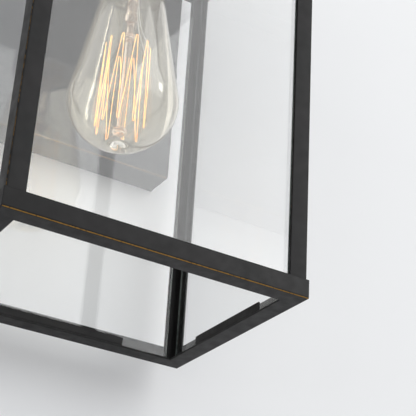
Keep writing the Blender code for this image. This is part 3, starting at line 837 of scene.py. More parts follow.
# ---------------------------------------------------------------- the cage
@dataclass
class Cage:
    """The bottom and top rings, the corner posts, the panes and their clips."""

    low: Vector
    high: Vector
    flange: float
    ring_height: float
    sheet: float = 1.1 * MM
    arris: float = 0.50 * MM
    corner: float = 0.45 * MM
    # width of the painted shade line beside a worn arris
    shade_border: float = 0.9 * MM
    lip: float = 0.18 * MM
    post_sheet: float = 1.4 * MM
    post_arris: float = 0.5 * MM
    post_edge: float = 0.25 * MM
    pane_chamfer: float = 0.5 * MM
    pane_corner: float = 0.9 * MM
    pane_face_corner: float = 0.6 * MM
    clip_sheet: float = 1.0 * MM
    clip_bend: float = 0.5 * MM
    clip_edge: float = 0.15 * MM
    clip_nose: float = 0.35 * MM

    POST_WEAR = 0.62
    EDGE_WEAR = 0.25
    RIM_WEAR = 0.42
    LIP_WEAR = 0.2
    CLIP_WEAR = 0.12
    BOTTOM_SHARES = (1.0, 0.30, 0.2, 0.45)
    TOP_SHARES = (0.6, 0.3, 0.2, 0.4)
    FACE_ON = 0.9
    CORNERS = {
        "front_left": (-1, -1),
        "front_right": (1, -1),
        "back_right": (1, 1),
        "back_left": (-1, 1),
    }

    @classmethod
    def from_frame(cls) -> "Cage":
        """Read the cage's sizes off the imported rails."""
        front_low, front_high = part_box("bottom_rail_front")
        left_low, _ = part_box("bottom_rail_left")
        _, right_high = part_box("bottom_rail_right")
        _, back_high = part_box("bottom_rail_back")
        _, top_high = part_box("top_rail_front")
        low = Vector((left_low.x, front_low.y, front_low.z))
        high = Vector((right_high.x, back_high.y, top_high.z))
        return cls(low, high, front_high.y - front_low.y, front_high.z - front_low.z)

    @property
    def centre(self) -> Vector:
        """The middle of the cage at the height of its underside."""
        middle = (self.low + self.high) / 2
        return Vector((middle.x, middle.y, self.low.z))

    def ring_section(self, flipped: bool) -> Outline:
        """The angle section as (inward, height, wear); flipped turns its flange to the top."""
        tall, wide, sheet, soft = self.ring_height, self.flange, self.sheet, self.arris
        edge = self.lip
        section = worn_arc((soft, soft), soft, 270, 180, 1.0, self.shade_border)
        section += worn_arc((edge * 2, tall - edge * 2), edge * 2, 180, 90, self.RIM_WEAR)
        section += [(sheet, tall, 0.0), (sheet, sheet, 0.0)]
        section += worn_arc((wide - edge, sheet - edge), edge, 90, 0, self.LIP_WEAR)
        section += worn_arc((wide - edge, edge), edge, 0, -90, self.LIP_WEAR)
        if flipped:
            section = [(inward, tall - height, wear) for inward, height, wear in reversed(section)]
        return section

    def ring(
        self, name: str, base: float, flipped: bool, shares: tuple[float, ...], nodes: list[str]
    ) -> None:
        """Make one welded ring.

        Args:
            name: the piece's name.
            base: the height of its underside.
            flipped: True for a flange at the top.
            shares: how much of its wear each side shows.
            nodes: the rails that it stands for.
        """
        size = (self.high - self.low) / 2
        centre = Vector((self.centre.x, self.centre.y, base))
        levels = []
        for inward, height, wear in self.ring_section(flipped):
            rounding = max(self.corner - inward, 0.0)
            levels.append(Level(size.x - inward, size.y - inward, height, rounding, wear))
        loft = Loft()
        loft.rectangles(levels, centre, shares, closed=True)
        settle(loft.piece(name, "bronze"), "housing", "bronze", *nodes)

    def rings(self) -> None:
        """Make the bottom ring and the top ring."""
        top = self.high.z - self.ring_height
        bottom_nodes = ["bottom_rail_" + side.label for side in Side]
        top_nodes = ["top_rail_" + side.label for side in Side]
        self.ring("bottom_ring", self.low.z, False, self.BOTTOM_SHARES, bottom_nodes)
        self.ring("top_ring", top, True, self.TOP_SHARES, top_nodes)

    def post(self, corner: str, sx: int, sy: int) -> None:
        """Make one angle post at a corner; sx and sy point out of the cage."""
        node = "corner_post_" + corner
        low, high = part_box(node)
        leg = high.x - low.x
        sheet, soft, edge = self.post_sheet, self.post_arris, self.post_edge
        worn = self.EDGE_WEAR
        outline = worn_arc((soft, soft), soft, 180, 270, self.POST_WEAR, self.shade_border)
        outline += worn_arc((leg - edge, edge), edge, 270, 360, worn)
        outline += worn_arc((leg - edge, sheet - edge), edge, 0, 90, worn)
        outline += [(sheet, sheet, 0.0)]
        outline += worn_arc((sheet - edge, leg - edge), edge, 0, 90, worn)
        outline += worn_arc((edge, leg - edge), edge, 90, 180, worn)
        x = high.x if sx > 0 else low.x
        y = high.y if sy > 0 else low.y
        place = Matrix.Translation((x, y, 0)) @ Matrix.Diagonal((-sx, -sy, 1, 1))
        loft = Loft()
        loft.extrusion(outline, low.z, high.z, place)
        settle(loft.piece(node + "_angle", "bronze"), "housing", "bronze", node)

    def posts(self) -> None:
        """Make the four posts."""
        for corner, (sx, sy) in self.CORNERS.items():
            self.post(corner, sx, sy)

    def pane(self, side: Side) -> None:
        """Dress one pane: clear faces and ground edges."""
        node = "glass_" + side.label
        low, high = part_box(node)
        chamfer = self.pane_chamfer
        thin = "y" if side.along_x else "x"
        centre = (low + high) / 2
        half = (high - low) / 2
        depth = getattr(half, thin)
        width = half.x if side.along_x else half.y
        levels = [
            Level(width - chamfer, half.z - chamfer, -depth, self.pane_face_corner),
            Level(width, half.z, -depth + chamfer, self.pane_corner),
            Level(width, half.z, depth - chamfer, self.pane_corner),
            Level(width - chamfer, half.z - chamfer, depth, self.pane_face_corner),
        ]
        loft = Loft()
        loft.rectangles(levels, Vector(), (0, 0, 0, 0), closed=False)
        made = loft.piece(node + "_pane", "pane_glass")
        turn = Matrix.Rotation(math.pi / 2, 4, "X")
        if not side.along_x:
            turn = Matrix.Rotation(math.pi / 2, 4, "Z") @ turn
        made.data.transform(Matrix.Translation(centre) @ turn)
        made.data.materials.append(SHOP.get("ground_edge"))
        for polygon in made.data.polygons:
            polygon.use_smooth = False
            if abs(getattr(polygon.normal, thin)) < self.FACE_ON:
                polygon.material_index = 1
        settle(made, "housing", "pane_glass", node)

    def clip(self, side: Side) -> None:
        """Fold one clip: a foot on the flange and an upright blade along its inner edge."""
        node = "glass_clip_" + side.label
        low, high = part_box(node)
        length = (high.x - low.x) if side.along_x else (high.y - low.y)
        foot = (high.y - low.y) if side.along_x else (high.x - low.x)
        tall = high.z - low.z
        sheet, bend, edge = self.clip_sheet, self.clip_bend, self.clip_edge
        outline = [(x, y, 0.0) for x, y in arc((foot / 2 - bend, bend), bend, -90, 0, 4)]
        rim = arc((foot / 2 - edge, tall - edge), edge, 0, 90, 3)
        outline += [(x, y, self.CLIP_WEAR) for x, y in rim]
        outline += [(foot / 2 - sheet, tall, 0.0), (foot / 2 - sheet, sheet, 0.0)]
        outline += [(-foot / 2, sheet, 0.0), (-foot / 2, 0.0, 0.0)]
        loft = Loft()
        along = Matrix(((0, 0, 1, 0), (1, 0, 0, 0), (0, 1, 0, 0), (0, 0, 0, 1)))
        loft.extrusion(outline, -length / 2, length / 2, along)
        topmost = tall - edge / 8
        tips = []
        for line in loft.shape.edges:
            first, second = (vert.co for vert in line.verts)
            if min(first.z, second.z) > topmost and abs(first.x - second.x) < edge:
                tips.append(line)
        bmesh.ops.bevel(
            loft.shape, geom=tips, offset=self.clip_nose, segments=3, affect="EDGES", profile=0.5
        )
        made = loft.piece(node + "_fold", "bronze")
        centre = (low + high) / 2
        turn = Matrix.Rotation(side.value * math.pi / 2, 4, "Z")
        made.data.transform(Matrix.Translation((centre.x, centre.y, low.z)) @ turn)
        settle(made, "housing", "bronze", node)

    def build(self) -> None:
        """Make every piece of the cage."""
        self.rings()
        self.posts()
        for side in Side:
            self.pane(side)
            self.clip(side)


# ---------------------------------------------------------------- the roof
@dataclass
class Roof:
    """The top plate, the hipped shell and the finial."""

    soft: float = 0.5 * MM
    sheet: float = 1.2 * MM
    flat: float = 22.0 * MM
    skirt: float = 12.0 * MM
    stud_hole: float = 7.0 * MM
    waist: float = 6.6 * MM
    ball: float = 8.0 * MM
    bore: float = 5.1 * MM
    bore_depth: float = 9.5 * MM

    SHARES = (1.0, 0.5, 0.2, 0.6)

    def deck(self) -> None:
        """Make the overhanging top plate, its arrises rubbed."""
        low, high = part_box("top_deck")
        half = (high - low) / 2
        centre = Vector(((low.x + high.x) / 2, (low.y + high.y) / 2, 0))
        soft = self.soft
        levels = [Level(half.x - 3 * soft, half.y - 3 * soft, low.z, 1.0 * MM)]
        for inward, up, wear in worn_arc((soft, soft), soft, 270, 180, 0.9):
            levels.append(Level(half.x - inward, half.y - inward, low.z + up, 1.2 * MM, wear))
        for inward, up, wear in worn_arc((soft, -soft), soft, 180, 90, 0.5):
            levels.append(Level(half.x - inward, half.y - inward, high.z + up, 1.2 * MM, wear))
        levels.append(Level(half.x - 3 * soft, half.y - 3 * soft, high.z, 1.0 * MM))
        loft = Loft()
        loft.rectangles(levels, centre, self.SHARES, closed=False)
        settle(loft.piece("top_deck_plate", "bronze"), "housing", "bronze", "top_deck")

    def shell(self) -> None:
        """Make the hipped shell with its upright skirt, open underneath."""
        low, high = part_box("roof_shell")
        half = (high - low) / 2
        centre = Vector(((low.x + high.x) / 2, (low.y + high.y) / 2, 0))
        sheet, soft, flat = self.sheet, self.soft, self.flat
        hole, round_hole = self.stud_hole, self.stud_hole - 0.1 * MM
        eave = low.z + self.skirt
        levels = [Level(half.x - sheet, half.y - sheet, low.z, 0.3 * MM)]
        levels += [Level(half.x - soft, half.y - soft, low.z, 0.8 * MM)]
        levels += [Level(half.x, half.y, low.z + soft, 1.2 * MM, 0.4)]
        levels += [Level(half.x, half.y, eave - 2 * soft, 1.2 * MM)]
        levels += [Level(half.x - 0.15 * MM, half.y - 0.15 * MM, eave - soft, 1.2 * MM, 0.8)]
        levels += [Level(half.x - 2.2 * soft, half.y - 2.0 * soft, eave, 1.0 * MM, 0.8)]
        levels += [Level(half.x - 5 * soft, half.y - 4.2 * soft, eave + soft * 0.9, 1.0 * MM)]
        levels += [Level(flat + 1.5 * MM, flat + 1.0 * MM, high.z - 0.45 * MM, 1.0 * MM, 0.0)]
        levels += [Level(flat, flat, high.z - 0.1 * MM, 1.0 * MM, 0.5)]
        levels += [Level(flat - 1.5 * MM, flat - 1.5 * MM, high.z, 1.0 * MM)]
        levels += [Level(hole, hole, high.z, round_hole)]
        levels += [Level(hole, hole, high.z - sheet, round_hole)]
        levels += [Level(flat - sheet, flat - sheet, high.z - sheet, 0.8 * MM)]
        levels += [Level(half.x - sheet, half.y - sheet, eave - sheet, 0.8 * MM)]
        loft = Loft()
        loft.rectangles(levels, centre, self.SHARES, closed=True)
        settle(loft.piece("roof_hip", "bronze", 20.0), "housing", "bronze", "roof_shell")

    def finial(self) -> None:
        """Turn the finial: a foot, a waist and a ball."""
        low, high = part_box("finial")
        axis = Vector(((low.x + high.x) / 2, (low.y + high.y) / 2, low.z))
        tall = high.z - low.z
        foot, waist, ball, bore = (high.x - low.x) / 2, self.waist, self.ball, self.bore
        profile = [(bore, 0.0), (foot - 0.3 * MM, 0.0)]
        profile += arc((foot - 0.8 * MM, 1.1 * MM), 0.8 * MM, -50, 80, 6)
        profile += arc((foot - 1.6 * MM, 4.4 * MM), 2.2 * MM, 265, 185, 6)
        profile += arc((foot - 5.6 * MM, 4.5 * MM), 1.3 * MM, 10, 100, 4)
        profile += arc((waist + 1.6 * MM, 7.6 * MM), 2.3 * MM, 235, 140, 6)
        profile += arc((0.0, tall - ball), ball, -48, 90, 20)
        profile += [(0.0, self.bore_depth), (bore, self.bore_depth)]
        loft = Loft()
        loft.lathe(profile, Matrix.Translation(axis), 64, 0.15)
        settle(loft.piece("finial_knob", "bronze", 50.0), "finial", "bronze", "finial")

    def build(self) -> None:
        """Make every piece of the roof."""
        self.deck()
        self.shell()
        self.finial()


# ---------------------------------------------------------------- the bulb
@dataclass
class Bulb:
    """A squirrel-cage filament bulb: its glass, mount, wires and screw cap."""

    trees: Trees
    axis: Vector
    tip: float
    radius: float
    anchors: int = 10
    wall: float = 0.7 * MM
    tip_drop: float = 4.6 * MM
    tip_reach: float = 9.0 * MM
    widest: float = 31.0 * MM
    bowl_power: float = 0.6
    taper_onset: float = 0.07
    neck_radius: float = 17.2 * MM
    neck_height: float = 110.0 * MM
    wire: float = 0.19 * MM
    turn: float = 0.55 * MM
    sag: float = 0.35 * MM
    hook: float = 0.45 * MM
    hook_wire: float = 0.16 * MM
    lead_wire: float = 0.33 * MM
    rod: float = 2.0 * MM
    first_upper: float = 0.236
    first_lower: float = 0.375
    top: float = 158.0 * MM
    top_radius: float = 12.9 * MM
    bottom: float = 102.0 * MM
    bottom_radius: float = 14.4 * MM
    upper_bead: float = 164.0 * MM
    lower_bead: float = 101.0 * MM
    cap_groove: float = 0.7 * MM
    thread_pitch: float = 3.6 * MM
    thread_bead: float = 0.68 * MM

    BOWL_STEPS = 22
    TAPER_STEPS = 26
    COLLAR = ((15.4, 112.0), (13.2, 113.4), (12.0, 114.2), (11.8, 116.5))

    @classmethod
    def from_frame(cls, trees: Trees) -> "Bulb":
        """Read the bulb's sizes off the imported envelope."""
        low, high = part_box("bulb_glass")
        centre = (low + high) / 2
        return cls(trees, Vector((centre.x, centre.y, 0)), low.z, (high.x - low.x) / 2)

    def outline(self, inset: float = 0.0) -> list[Pair]:
        """The envelope's outline from the tip to the neck, as (radius, height over the tip)."""
        points = []
        for step in range(self.BOWL_STEPS + 1):
            part = 0.5 - 0.5 * math.cos(math.pi * step / self.BOWL_STEPS)
            share = 1 - (1 - part) ** 2
            points.append((self.radius * share**self.bowl_power, self.widest * part))
        for step in range(1, self.TAPER_STEPS + 1):
            part = step / self.TAPER_STEPS
            narrowing = part * (1 - math.exp(-part / self.taper_onset))
            height = self.widest + (self.neck_height - self.widest) * part
            points.append((self.radius - (self.radius - self.neck_radius) * narrowing, height))
        points += [(radius * MM, height * MM) for radius, height in self.COLLAR]
        if inset:
            points = [(max(r - inset, 0.0), height + self.drop(r)) for r, height in points[1:]]
            points = [point for point in points if point[0] > 0.8 * inset]
            points.insert(0, (0.0, inset + self.drop(0.0)))
        return points

    def drop(self, radius: float) -> float:
        """How much thicker the glass is at a radius, where it was drawn off at the tip."""
        return self.tip_drop * max(1.0 - radius / self.tip_reach, 0.0) ** 2

    def place(self, height: float = 0.0) -> Matrix:
        """The bulb's axis, with its zero at a height over the tip."""
        return Matrix.Translation((self.axis.x, self.axis.y, self.tip + height))

    def envelope(self) -> None:
        """Blow the glass: an outer and an inner skin, open at the neck."""
        profile = self.outline() + list(reversed(self.outline(self.wall)))
        loft = Loft()
        loft.lathe(profile, self.place(), 96)
        settle(loft.piece("bulb_envelope", "bulb_glass", 60.0), "bulb", "bulb_glass", "bulb_glass")

    def stem(self) -> None:
        """Make the glass mount: the rod, its two swellings and the flare in the neck."""
        low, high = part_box("glass_stem")
        start, end = low.z - self.tip, high.z - self.tip
        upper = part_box("upper_hub")
        hub = (upper[0].z + upper[1].z) / 2 - self.tip
        rod = self.rod
        profile = [(0.0, start)] + arc((0.0, start + 2.2 * MM), 2.2 * MM, -80, 0, 8)
        profile += arc((rod + 2.4 * MM, start + 7.0 * MM), 2.4 * MM, 215, 180, 4)
        profile += [(rod, hub + 9.0 * MM), (rod + 0.2 * MM, hub + 12.0 * MM)]
        profile += arc((0.0, hub + 16.5 * MM), 3.9 * MM, -45, 40, 10)
        profile += [(3.1 * MM, hub + 21.0 * MM), (3.6 * MM, end - 12.0 * MM)]
        profile += [(5.2 * MM, end - 6.0 * MM), (9.0 * MM, end - 0.6 * MM)]
        profile += [(9.2 * MM, end), (0.0, end)]
        loft = Loft()
        loft.lathe(profile, self.place(), 48)
        settle(loft.piece("bulb_stem", "stem_glass", 60.0), "bulb", "bulb_glass", "glass_stem")

    def bearing(self, index: int, lower: bool) -> float:
        """Bearing of an anchor: the lower ones stand a little on from the upper ones."""
        first = self.first_lower if lower else self.first_upper
        return 2 * math.pi * index / self.anchors + first

    def around(self, bearing: float, radius: float, height: float) -> Vector:
        """A point at a bearing, radius and height about the bulb's axis."""
        return self.axis + Vector((radius * math.cos(bearing), radius * math.sin(bearing), height))

    def filament_run(self) -> list[Vector]:
        """The zig-zag: straight legs that sag a little, with a round turn at each anchor."""
        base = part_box("bottom_rail_front")[0].z
        ends = []
        for index in range(2 * self.anchors - 1):
            lower = index % 2 == 1
            radius = self.bottom_radius if lower else self.top_radius
            height = base + (self.bottom if lower else self.top)
            ends.append((self.bearing(index // 2, lower), radius, height, -1 if lower else 1))
        run: list[Vector] = []
        for number, (bearing, radius, height, up) in enumerate(ends):
            for step in range(7):
                angle = math.pi * step / 6
                swing = bearing - math.cos(angle) * self.turn / radius
                run.append(self.around(swing, radius, height + up * math.sin(angle) * self.turn))
            if number + 1 < len(ends):
                following, reach, level, _ = ends[number + 1]
                last = self.around(following - self.turn / reach, reach, level)
                bow = self.sag if number % 3 else -1.4 * self.sag
                run += self.leg(run[-1], last, bow)
        return run

    def leg(self, first: Vector, last: Vector, bow: float) -> list[Vector]:
        """The points between a leg's ends, bowed away from the axis."""
        points = []
        for step in range(1, 6):
            part = step / 6
            point = first.lerp(last, part)
            outward = point - self.axis
            outward.z = 0
            points.append(point + outward.normalized() * bow * math.sin(math.pi * part))
        return points

    def filament(self) -> None:
        """Wind the filament."""
        piece = path_piece("filament_wire", [self.filament_run()])
        self.trees.wire.apply(piece, Radius=self.wire, Sides=8, Material=SHOP.get("filament"))
        settle(piece, "bulb", "filament", "filament")

    def hub(self, name: str, node: str, lower: bool) -> None:
        """Make a glass bead with its wire hooks, one to each anchor."""
        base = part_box("bottom_rail_front")[0].z
        middle = base + (self.lower_bead if lower else self.upper_bead)
        reach = self.bottom_radius if lower else self.top_radius
        level = base + (self.bottom if lower else self.top)
        bead = Loft()
        profile = arc((2.7 * MM, 0.0), 1.7 * MM, -90, 90, 10)
        profile += arc((2.7 * MM, 0.0), 0.6 * MM, 90, 270, 6)
        bead.lathe(profile, Matrix.Translation((0, 0, middle)), 48)
        beads = bead.piece(name, "stem_glass", 60.0)
        start = self.bearing(0, lower)
        rise = level - middle
        tip = Vector((reach, 0, level))
        run = [Vector((3.6 * MM, 0, middle)), Vector((reach * 0.55, 0, middle + rise * 0.35))]
        run += [Vector((reach * 0.9, 0, level - rise * 0.1))]
        sign = -1 if lower else 1
        for step in range(7):
            angle = math.radians(200 - 300 * step / 6)
            bent = Vector((math.cos(angle), 0, sign * math.sin(angle)))
            run.append(tip + bent * self.hook)
        spokes = path_piece(name + "_spokes", [run])
        # painted light: the hooks emit a dim orange light, and the beads a faint peach one
        painted_glow = SHOP.get("painted_glow_hook")
        self.trees.wire.apply(spokes, Radius=self.hook_wire, Sides=6, Material=painted_glow)
        self.trees.radial.apply(spokes, Count=self.anchors, Start_Angle=start, Material=painted_glow)
        made = join_meshes(beads, spokes)
        made.data.transform(Matrix.Translation(self.axis))
        settle(made, "bulb", "brass", node)

    def lead_ins(self) -> None:
        """Draw the two stiff wires from the stem to the filament's ends."""
        run = self.filament_run()
        for label, end in (("first", run[0]), ("last", run[-1])):
            node = "lead_in_" + label
            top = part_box(node)[1].z
            out = end - self.axis
            out.z = 0
            out.normalize()
            start = self.axis + out * 3.0 * MM
            start.z = top
            knee = self.axis + out * 4.2 * MM
            knee.z = end.z + 16 * MM
            bend = self.axis + out * 8.5 * MM
            bend.z = end.z + 9 * MM
            path = [start]
            for step in range(1, 9):
                part = step / 8
                first = start.lerp(knee, part)
                second = knee.lerp(bend, part)
                path.append(first.lerp(second, part))
            path.append(end + Vector((0, 0, 0.2 * MM)))
            piece = path_piece(node + "_wire", [path])
            self.trees.wire.apply(piece, Radius=self.lead_wire, Sides=8, Material=SHOP.get("steel"))
            settle(piece, "bulb", "steel", node)

    def cap(self) -> None:
        """Roll the screw cap: a thin shell with a thread, the insulator and the contact."""
        low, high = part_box("bulb_cap")
        radius = (high.x - low.x) / 2
        tall = high.z - low.z
        skin = radius - self.cap_groove
        profile = [(skin - 0.4 * MM, 0.0), (radius - 0.1 * MM, 0.0)]
        profile += [(radius, 0.5 * MM), (radius - 0.2 * MM, 1.2 * MM)]
        profile += [(skin, 2.6 * MM), (skin, tall - 3.6 * MM), (skin - 1.2 * MM, tall - 1.4 * MM)]
        profile += [(10.0 * MM, tall), (7.6 * MM, tall), (9.6 * MM, tall - 0.6 * MM)]
        profile += [(skin - 0.5 * MM, tall - 4.0 * MM)]
        place = Matrix.Translation((self.axis.x, self.axis.y, low.z))
        shell = Loft()
        shell.lathe(profile, place, 64)
        made = shell.piece("bulb_cap_shell", "brass", 50.0)
        thread = path_piece("bulb_cap_thread", [[Vector(), Vector((0, 0, 1 * MM))]])
        rise = tall - 8.0 * MM
        turns = rise / self.thread_pitch
        values = {"Radius": skin, "Height": rise, "Turns": turns, "Bead": self.thread_bead}
        self.trees.thread.apply(thread, Material=SHOP.get("brass"), **values)
        thread.data.transform(place @ Matrix.Translation((0, 0, self.thread_pitch)))
        settle(join_meshes(made, thread), "bulb", "brass", "bulb_cap")
        keep_node("bulb_insulator", "black_glass")
        keep_node("bulb_contact", "steel")

    def build(self) -> None:
        """Make every piece of the bulb."""
        self.envelope()
        self.stem()
        self.filament()
        self.hub("upper_bead", "upper_hub", lower=False)
        self.hub("lower_bead", "lower_hub", lower=True)
        self.lead_ins()
        self.cap()


def keep_node(node: str, finish: str) -> None:
    """Let a CAD node stand as it is, in a finish from the shop."""
    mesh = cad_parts[node].data
    mesh.materials.clear()
    mesh.materials.append(SHOP.get(finish))
    LOG.info("%s: kept, in %s", node, finish)


# ---------------------------------------------------------------- the lamp holder
@dataclass
class Holder:
    """The socket cover, the porcelain body, the brass shell, the nipple and its nuts."""

    trees: Trees
    cover_sheet: float = 1.0 * MM
    cover_bore: float = 5.1 * MM
    shell_wall: float = 0.35 * MM
    nipple_bore: float = 3.4 * MM
    thread_depth: float = 0.35 * MM
    thread_pitch: float = 0.94 * MM
    thread_bead: float = 0.32 * MM

    @staticmethod
    def axis_of(node: str) -> tuple[Matrix, float, float]:
        """Where a turned node's axis stands, its radius and its height."""
        low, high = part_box(node)
        place = Matrix.Translation(((low.x + high.x) / 2, (low.y + high.y) / 2, low.z))
        return place, (high.x - low.x) / 2, high.z - low.z

    def cover(self) -> None:
        """Turn the socket cover: a straight cup with a rolled lip and a stepped shoulder."""
        place, radius, tall = self.axis_of("socket_cover")
        sheet, bore = self.cover_sheet, self.cover_bore
        profile = [(radius - sheet, 0.4 * MM)]
        profile += arc((radius - 0.5 * MM, 0.5 * MM), 0.5 * MM, 200, 360, 6)
        profile += [(radius - 0.35 * MM, 2.2 * MM), (radius - 0.35 * MM, tall - 9.0 * MM)]
        profile += arc((radius - 4.35 * MM, tall - 9.0 * MM), 4.0 * MM, 0, 80, 8)
        profile += arc((radius - 6.4 * MM, tall - 3.6 * MM), 3.6 * MM, 25, 90, 6)
        profile += [(bore, tall), (bore, tall - sheet), (radius - 6.4 * MM, tall - sheet)]
        profile += [(radius - sheet - 0.35 * MM, tall - 9.0 * MM)]
        loft = Loft()
        loft.lathe(profile, place, 72, 0.1)
        settle(loft.piece("socket_cup", "bronze", 40.0), "housing", "bronze", "socket_cover")

    def shell(self) -> None:
        """Roll the brass shell, a plain tube."""
        place, radius, tall = self.axis_of("screw_shell")
        inner = radius - self.shell_wall
        profile = [(inner, 0.0), (radius, 0.0), (radius, tall), (inner, tall)]
        loft = Loft()
        loft.lathe(profile, place, 64)
        settle(loft.piece("screw_shell_brass", "brass", 40.0), "housing", "brass", "screw_shell")

    def thread_nipple(self) -> None:
        """Cut the nipple: a tube with a fine thread."""
        place, radius, tall = self.axis_of("nipple")
        root, bore, bead = radius - self.thread_depth, self.nipple_bore, self.thread_bead
        profile = [(bore, 0.0), (root, 0.0), (root, tall), (bore, tall)]
        loft = Loft()
        loft.lathe(profile, place, 40)
        made = loft.piece("nipple_tube", "steel", 40.0)
        thread = path_piece("nipple_thread", [[Vector(), Vector((0, 0, 1 * MM))]])
        rise = tall - 3 * bead
        values = {"Radius": root, "Height": rise, "Turns": rise / self.thread_pitch, "Bead": bead}
        self.trees.thread.apply(thread, Material=SHOP.get("steel"), **values)
        thread.data.transform(place @ Matrix.Translation((0, 0, 1.5 * bead)))
        settle(join_meshes(made, thread), "housing", "steel", "nipple")

    def build(self) -> None:
        """Make every piece of the holder."""
        self.cover()
        self.shell()
        self.thread_nipple()
        keep_node("socket_body", "porcelain")
        keep_node("centre_contact", "brass")
        keep_node("deck_nut", "steel")
        keep_node("roof_nut", "steel")


# ---------------------------------------------------------------- the wall side
@dataclass
class WallSide:
    """The wall plate, the gasket, the strap and their fasteners."""

    trees: Trees
    soft: float = 0.6 * MM
    sheet: float = 1.2 * MM
    rounding: float = 0.8 * MM
    screw_head: float = 5.0 * MM
    screw_shank: float = 2.3 * MM
    knurl: float = 0.45 * MM
    teeth: int = 36

    SHARES = (1.0, 0.7, 0.3, 0.5)

    def plate(self) -> None:
        """Fold the plate: a rounded, rubbed front arris and an open back."""
        low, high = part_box("wall_plate")
        half = (high - low) / 2
        centre = (low + high) / 2
        depth, sheet, soft, rounding = high.y - low.y, self.sheet, self.soft, self.rounding
        levels = [Level(half.x - sheet, half.z - sheet, depth - sheet)]
        levels.append(Level(half.x - sheet, half.z - sheet, 0.0))
        levels.append(Level(half.x, half.z, 0.0, rounding))
        for inward, up, wear in worn_arc((soft, -soft), soft, 180, 90, 1.0):
            levels.append(Level(half.x - inward, half.z - inward, depth + up, rounding, wear))
        levels.append(Level(half.x - 4 * soft, half.z - 4 * soft, depth, rounding))
        loft = Loft()
        loft.rectangles(levels, Vector(), self.SHARES, closed=False)
        made = loft.piece("wall_plate_box", "bronze")
        turn = Matrix.Rotation(math.pi / 2, 4, "X")
        made.data.transform(Matrix.Translation((centre.x, high.y, centre.z)) @ turn)
        settle(made, "housing", "bronze", "wall_plate")

    def side_screw(self, label: str, side: int) -> None:
        """Turn a thumb screw and knurl its head."""
        node = "side_screw_" + label
        low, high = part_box(node)
        radius = (high.z - low.z) / 2
        outer = high.x if side > 0 else -low.x
        length = high.x - low.x
        head, shank, core = self.screw_head, self.screw_shank, radius - self.knurl
        profile = [(0.0, -length), (shank - 0.5 * MM, -length), (shank, -length + 0.6 * MM)]
        profile += [(shank, -head), (core, -head), (core, -1.0 * MM)]
        profile += arc((core - 1.2 * MM, -1.2 * MM), 1.2 * MM, 10, 90, 5) + [(0.0, 0.0)]
        loft = Loft()
        loft.lathe(profile, Matrix.Identity(4), 48, 0.2)
        made = loft.piece(node + "_knob", "bronze")
        ridge = Loft()
        foot, half_tooth = core - 0.2 * MM, 0.32 * MM
        tooth = [(foot, -half_tooth, 0.1), (radius, 0.0, 0.7), (foot, half_tooth, 0.1)]
        ridge.extrusion(tooth, -head + 0.5 * MM, -1.2 * MM, Matrix.Identity(4))
        teeth = ridge.piece(node + "_teeth", "bronze")
        paint = SHOP.get("bronze")
        self.trees.radial.apply(teeth, Count=self.teeth, Start_Angle=0.0, Material=paint)
        join_meshes(made, teeth)
        middle = (low + high) / 2
        turn = Matrix.Rotation(side * math.pi / 2, 4, "Y")
        made.data.transform(Matrix.Translation((side * outer, middle.y, middle.z)) @ turn)
        settle(made, node, "bronze", node)

    def build(self) -> None:
        """Make every piece of the wall side."""
        self.plate()
        for label, side in (("left", -1), ("right", 1)):
            self.side_screw(label, side)
            keep_node("link_screw_" + label, "steel")
        keep_node("wall_gasket", "foam")
        keep_node("mounting_strap", "steel")
        keep_node("ground_screw", "brass")
        keep_node("wire_grommet", "rubber")


# ---------------------------------------------------------------- wall, light and camera
@dataclass(frozen=True)
class Lamp:
    """A soft box: where it stands, what it looks at, its size and its power.

    A lamp with lights_solids False shows only in gloss and reflections.
    """

    name: str
    place: Triple
    aim: Triple
    width: float
    height: float
    power: float
    lights_solids: bool = True

    def build(self) -> None:
        """Stand the lamp in the scene."""
        data = bpy.data.lights.new(self.name, "AREA")
        data.shape = "RECTANGLE"
        data.size = self.width
        data.size_y = self.height
        data.energy = self.power
        made = bpy.data.objects.new(self.name, data)
        made.location = self.place
        made.visible_diffuse = self.lights_solids
        look = Vector(self.aim) - Vector(self.place)
        made.rotation_euler = look.to_track_quat("-Z", "Y").to_euler()
        bpy.context.scene.collection.objects.link(made)


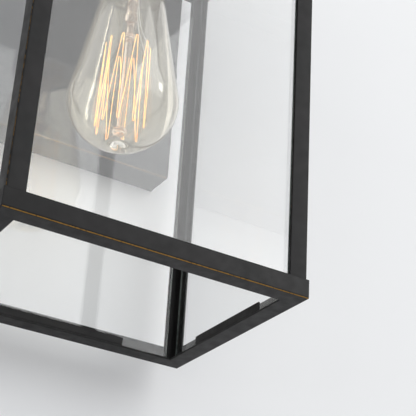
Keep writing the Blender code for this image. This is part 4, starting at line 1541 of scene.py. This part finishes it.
@dataclass(frozen=True)
class Studio:
    """The wall with the plate's outlet opening, the floor, the lamps and the sky."""

    wall_half: float = 3.2
    wall_back: float = 0.4 * MM
    outlet_edge: float = 2 * MM
    floor: float = -1.65
    sky: float = 0.68
    sky_colour: Colour = (0.97, 0.985, 1.0)
    lamps: tuple[Lamp, ...] = (
        Lamp("key_box", (1.10, -2.02, 1.10), (0.0, 0.0, -0.05), 2.6, 2.6, 34.5),
        Lamp("window_glint", (2.1, -1.9, 0.95), BULB_MIDDLE, 0.45, 0.8, 9.0, lights_solids=False),
        Lamp("tall_glint", (0.30, -2.0, -0.55), BULB_MIDDLE, 0.42, 1.3, 3.4, lights_solids=False),
        Lamp("fill_box", (-1.9, -1.6, 0.1), (0.0, 0.0, -0.1), 1.2, 1.6, 7.0),
        Lamp("rear_box", (0.5, 1.6, 0.9), (0.0, 0.0, 0.0), 1.0, 1.0, 14.0),
    )

    def wall(self) -> None:
        """A flat wall with an opening behind the wall plate, where the outlet box is."""
        low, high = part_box("wall_gasket")
        edge, size = self.outlet_edge, self.wall_half
        left, right = low.x + edge, high.x - edge
        under, over = low.z + edge, high.z - edge
        inner = [(left, under), (right, under), (right, over), (left, over)]
        outer = [(-size, self.floor), (size, self.floor), (size, size), (-size, size)]
        shape = bmesh.new()
        rings = []
        for ring in (outer, inner):
            rings.append([shape.verts.new((x, self.wall_back, z)) for x, z in ring])
        for i in range(4):
            j = (i + 1) % 4
            shape.faces.new((rings[0][i], rings[0][j], rings[1][j], rings[1][i]))
        self.stage("studio_wall", shape, "wall")

    def ground(self) -> None:
        """A plain floor from the wall out to the front."""
        shape = bmesh.new()
        size = self.wall_half
        corners = ((-size, -2 * size), (size, -2 * size), (size, size), (-size, size))
        shape.faces.new([shape.verts.new((x, y, self.floor)) for x, y in corners])
        self.stage("studio_floor", shape, "floor")

    @staticmethod
    def stage(name: str, shape: bmesh.types.BMesh, finish: str) -> None:
        """Turn a shape into a stage object."""
        mesh = bpy.data.meshes.new(name)
        shape.to_mesh(mesh)
        shape.free()
        mesh.materials.append(SHOP.get(finish))
        made = bpy.data.objects.new(name, mesh)
        bpy.context.scene.collection.objects.link(made)

    def air(self) -> None:
        """An even pale sky all round."""
        world = bpy.data.worlds.new("studio_air")
        world.use_nodes = True
        back = world.node_tree.nodes["Background"]
        back.inputs["Color"].default_value = (*self.sky_colour, 1.0)
        back.inputs["Strength"].default_value = self.sky
        bpy.context.scene.world = world

    def build(self) -> None:
        """Build the whole studio."""
        self.wall()
        self.ground()
        self.air()
        for lamp in self.lamps:
            lamp.build()
        bpy.context.scene.view_settings.view_transform = "Standard"


@dataclass(frozen=True)
class View:
    """The camera: low on the left under the lantern, looking up at its right front corner."""

    place: Triple = (-0.2515, -0.6359, -0.4572)
    yaw: float = 29.80
    pitch: float = 27.23
    roll: float = -3.58
    lens: float = 107.22
    shift: Pair = (-0.0024, -0.0012)
    sensor: float = 36.0
    nearest: float = 0.02

    def build(self) -> None:
        """Set the camera up and make it the scene's."""
        yaw, pitch, roll = (math.radians(angle) for angle in (self.yaw, self.pitch, self.roll))
        ahead = Vector((math.sin(yaw), math.cos(yaw), 0)) * math.cos(pitch)
        ahead.z = math.sin(pitch)
        level = Vector((math.cos(yaw), -math.sin(yaw), 0))
        down = ahead.cross(level)
        right = level * math.cos(roll) + down * math.sin(roll)
        under = down * math.cos(roll) - level * math.sin(roll)
        rows = (right, -under, -ahead)
        turn = Matrix(rows).transposed().to_4x4()
        data = bpy.data.cameras.new("camera")
        data.lens = self.lens
        data.sensor_width = self.sensor
        data.shift_x, data.shift_y = self.shift
        data.dof.use_dof = False
        data.clip_start = self.nearest
        made = bpy.data.objects.new("camera", data)
        made.matrix_world = Matrix.Translation(self.place) @ turn
        bpy.context.scene.collection.objects.link(made)
        bpy.context.scene.camera = made


def main() -> None:
    """Build the lantern's visible pieces in order, then the studio and the camera."""
    logging.basicConfig(level=logging.INFO, format="%(name)s: %(message)s")
    View().build()
    trees = Trees()
    Cage.from_frame().build()
    Roof().build()
    Holder(trees).build()
    Bulb.from_frame(trees).build()
    WallSide(trees).build()
    Studio().build()


if __name__ == "__main__":
    main()
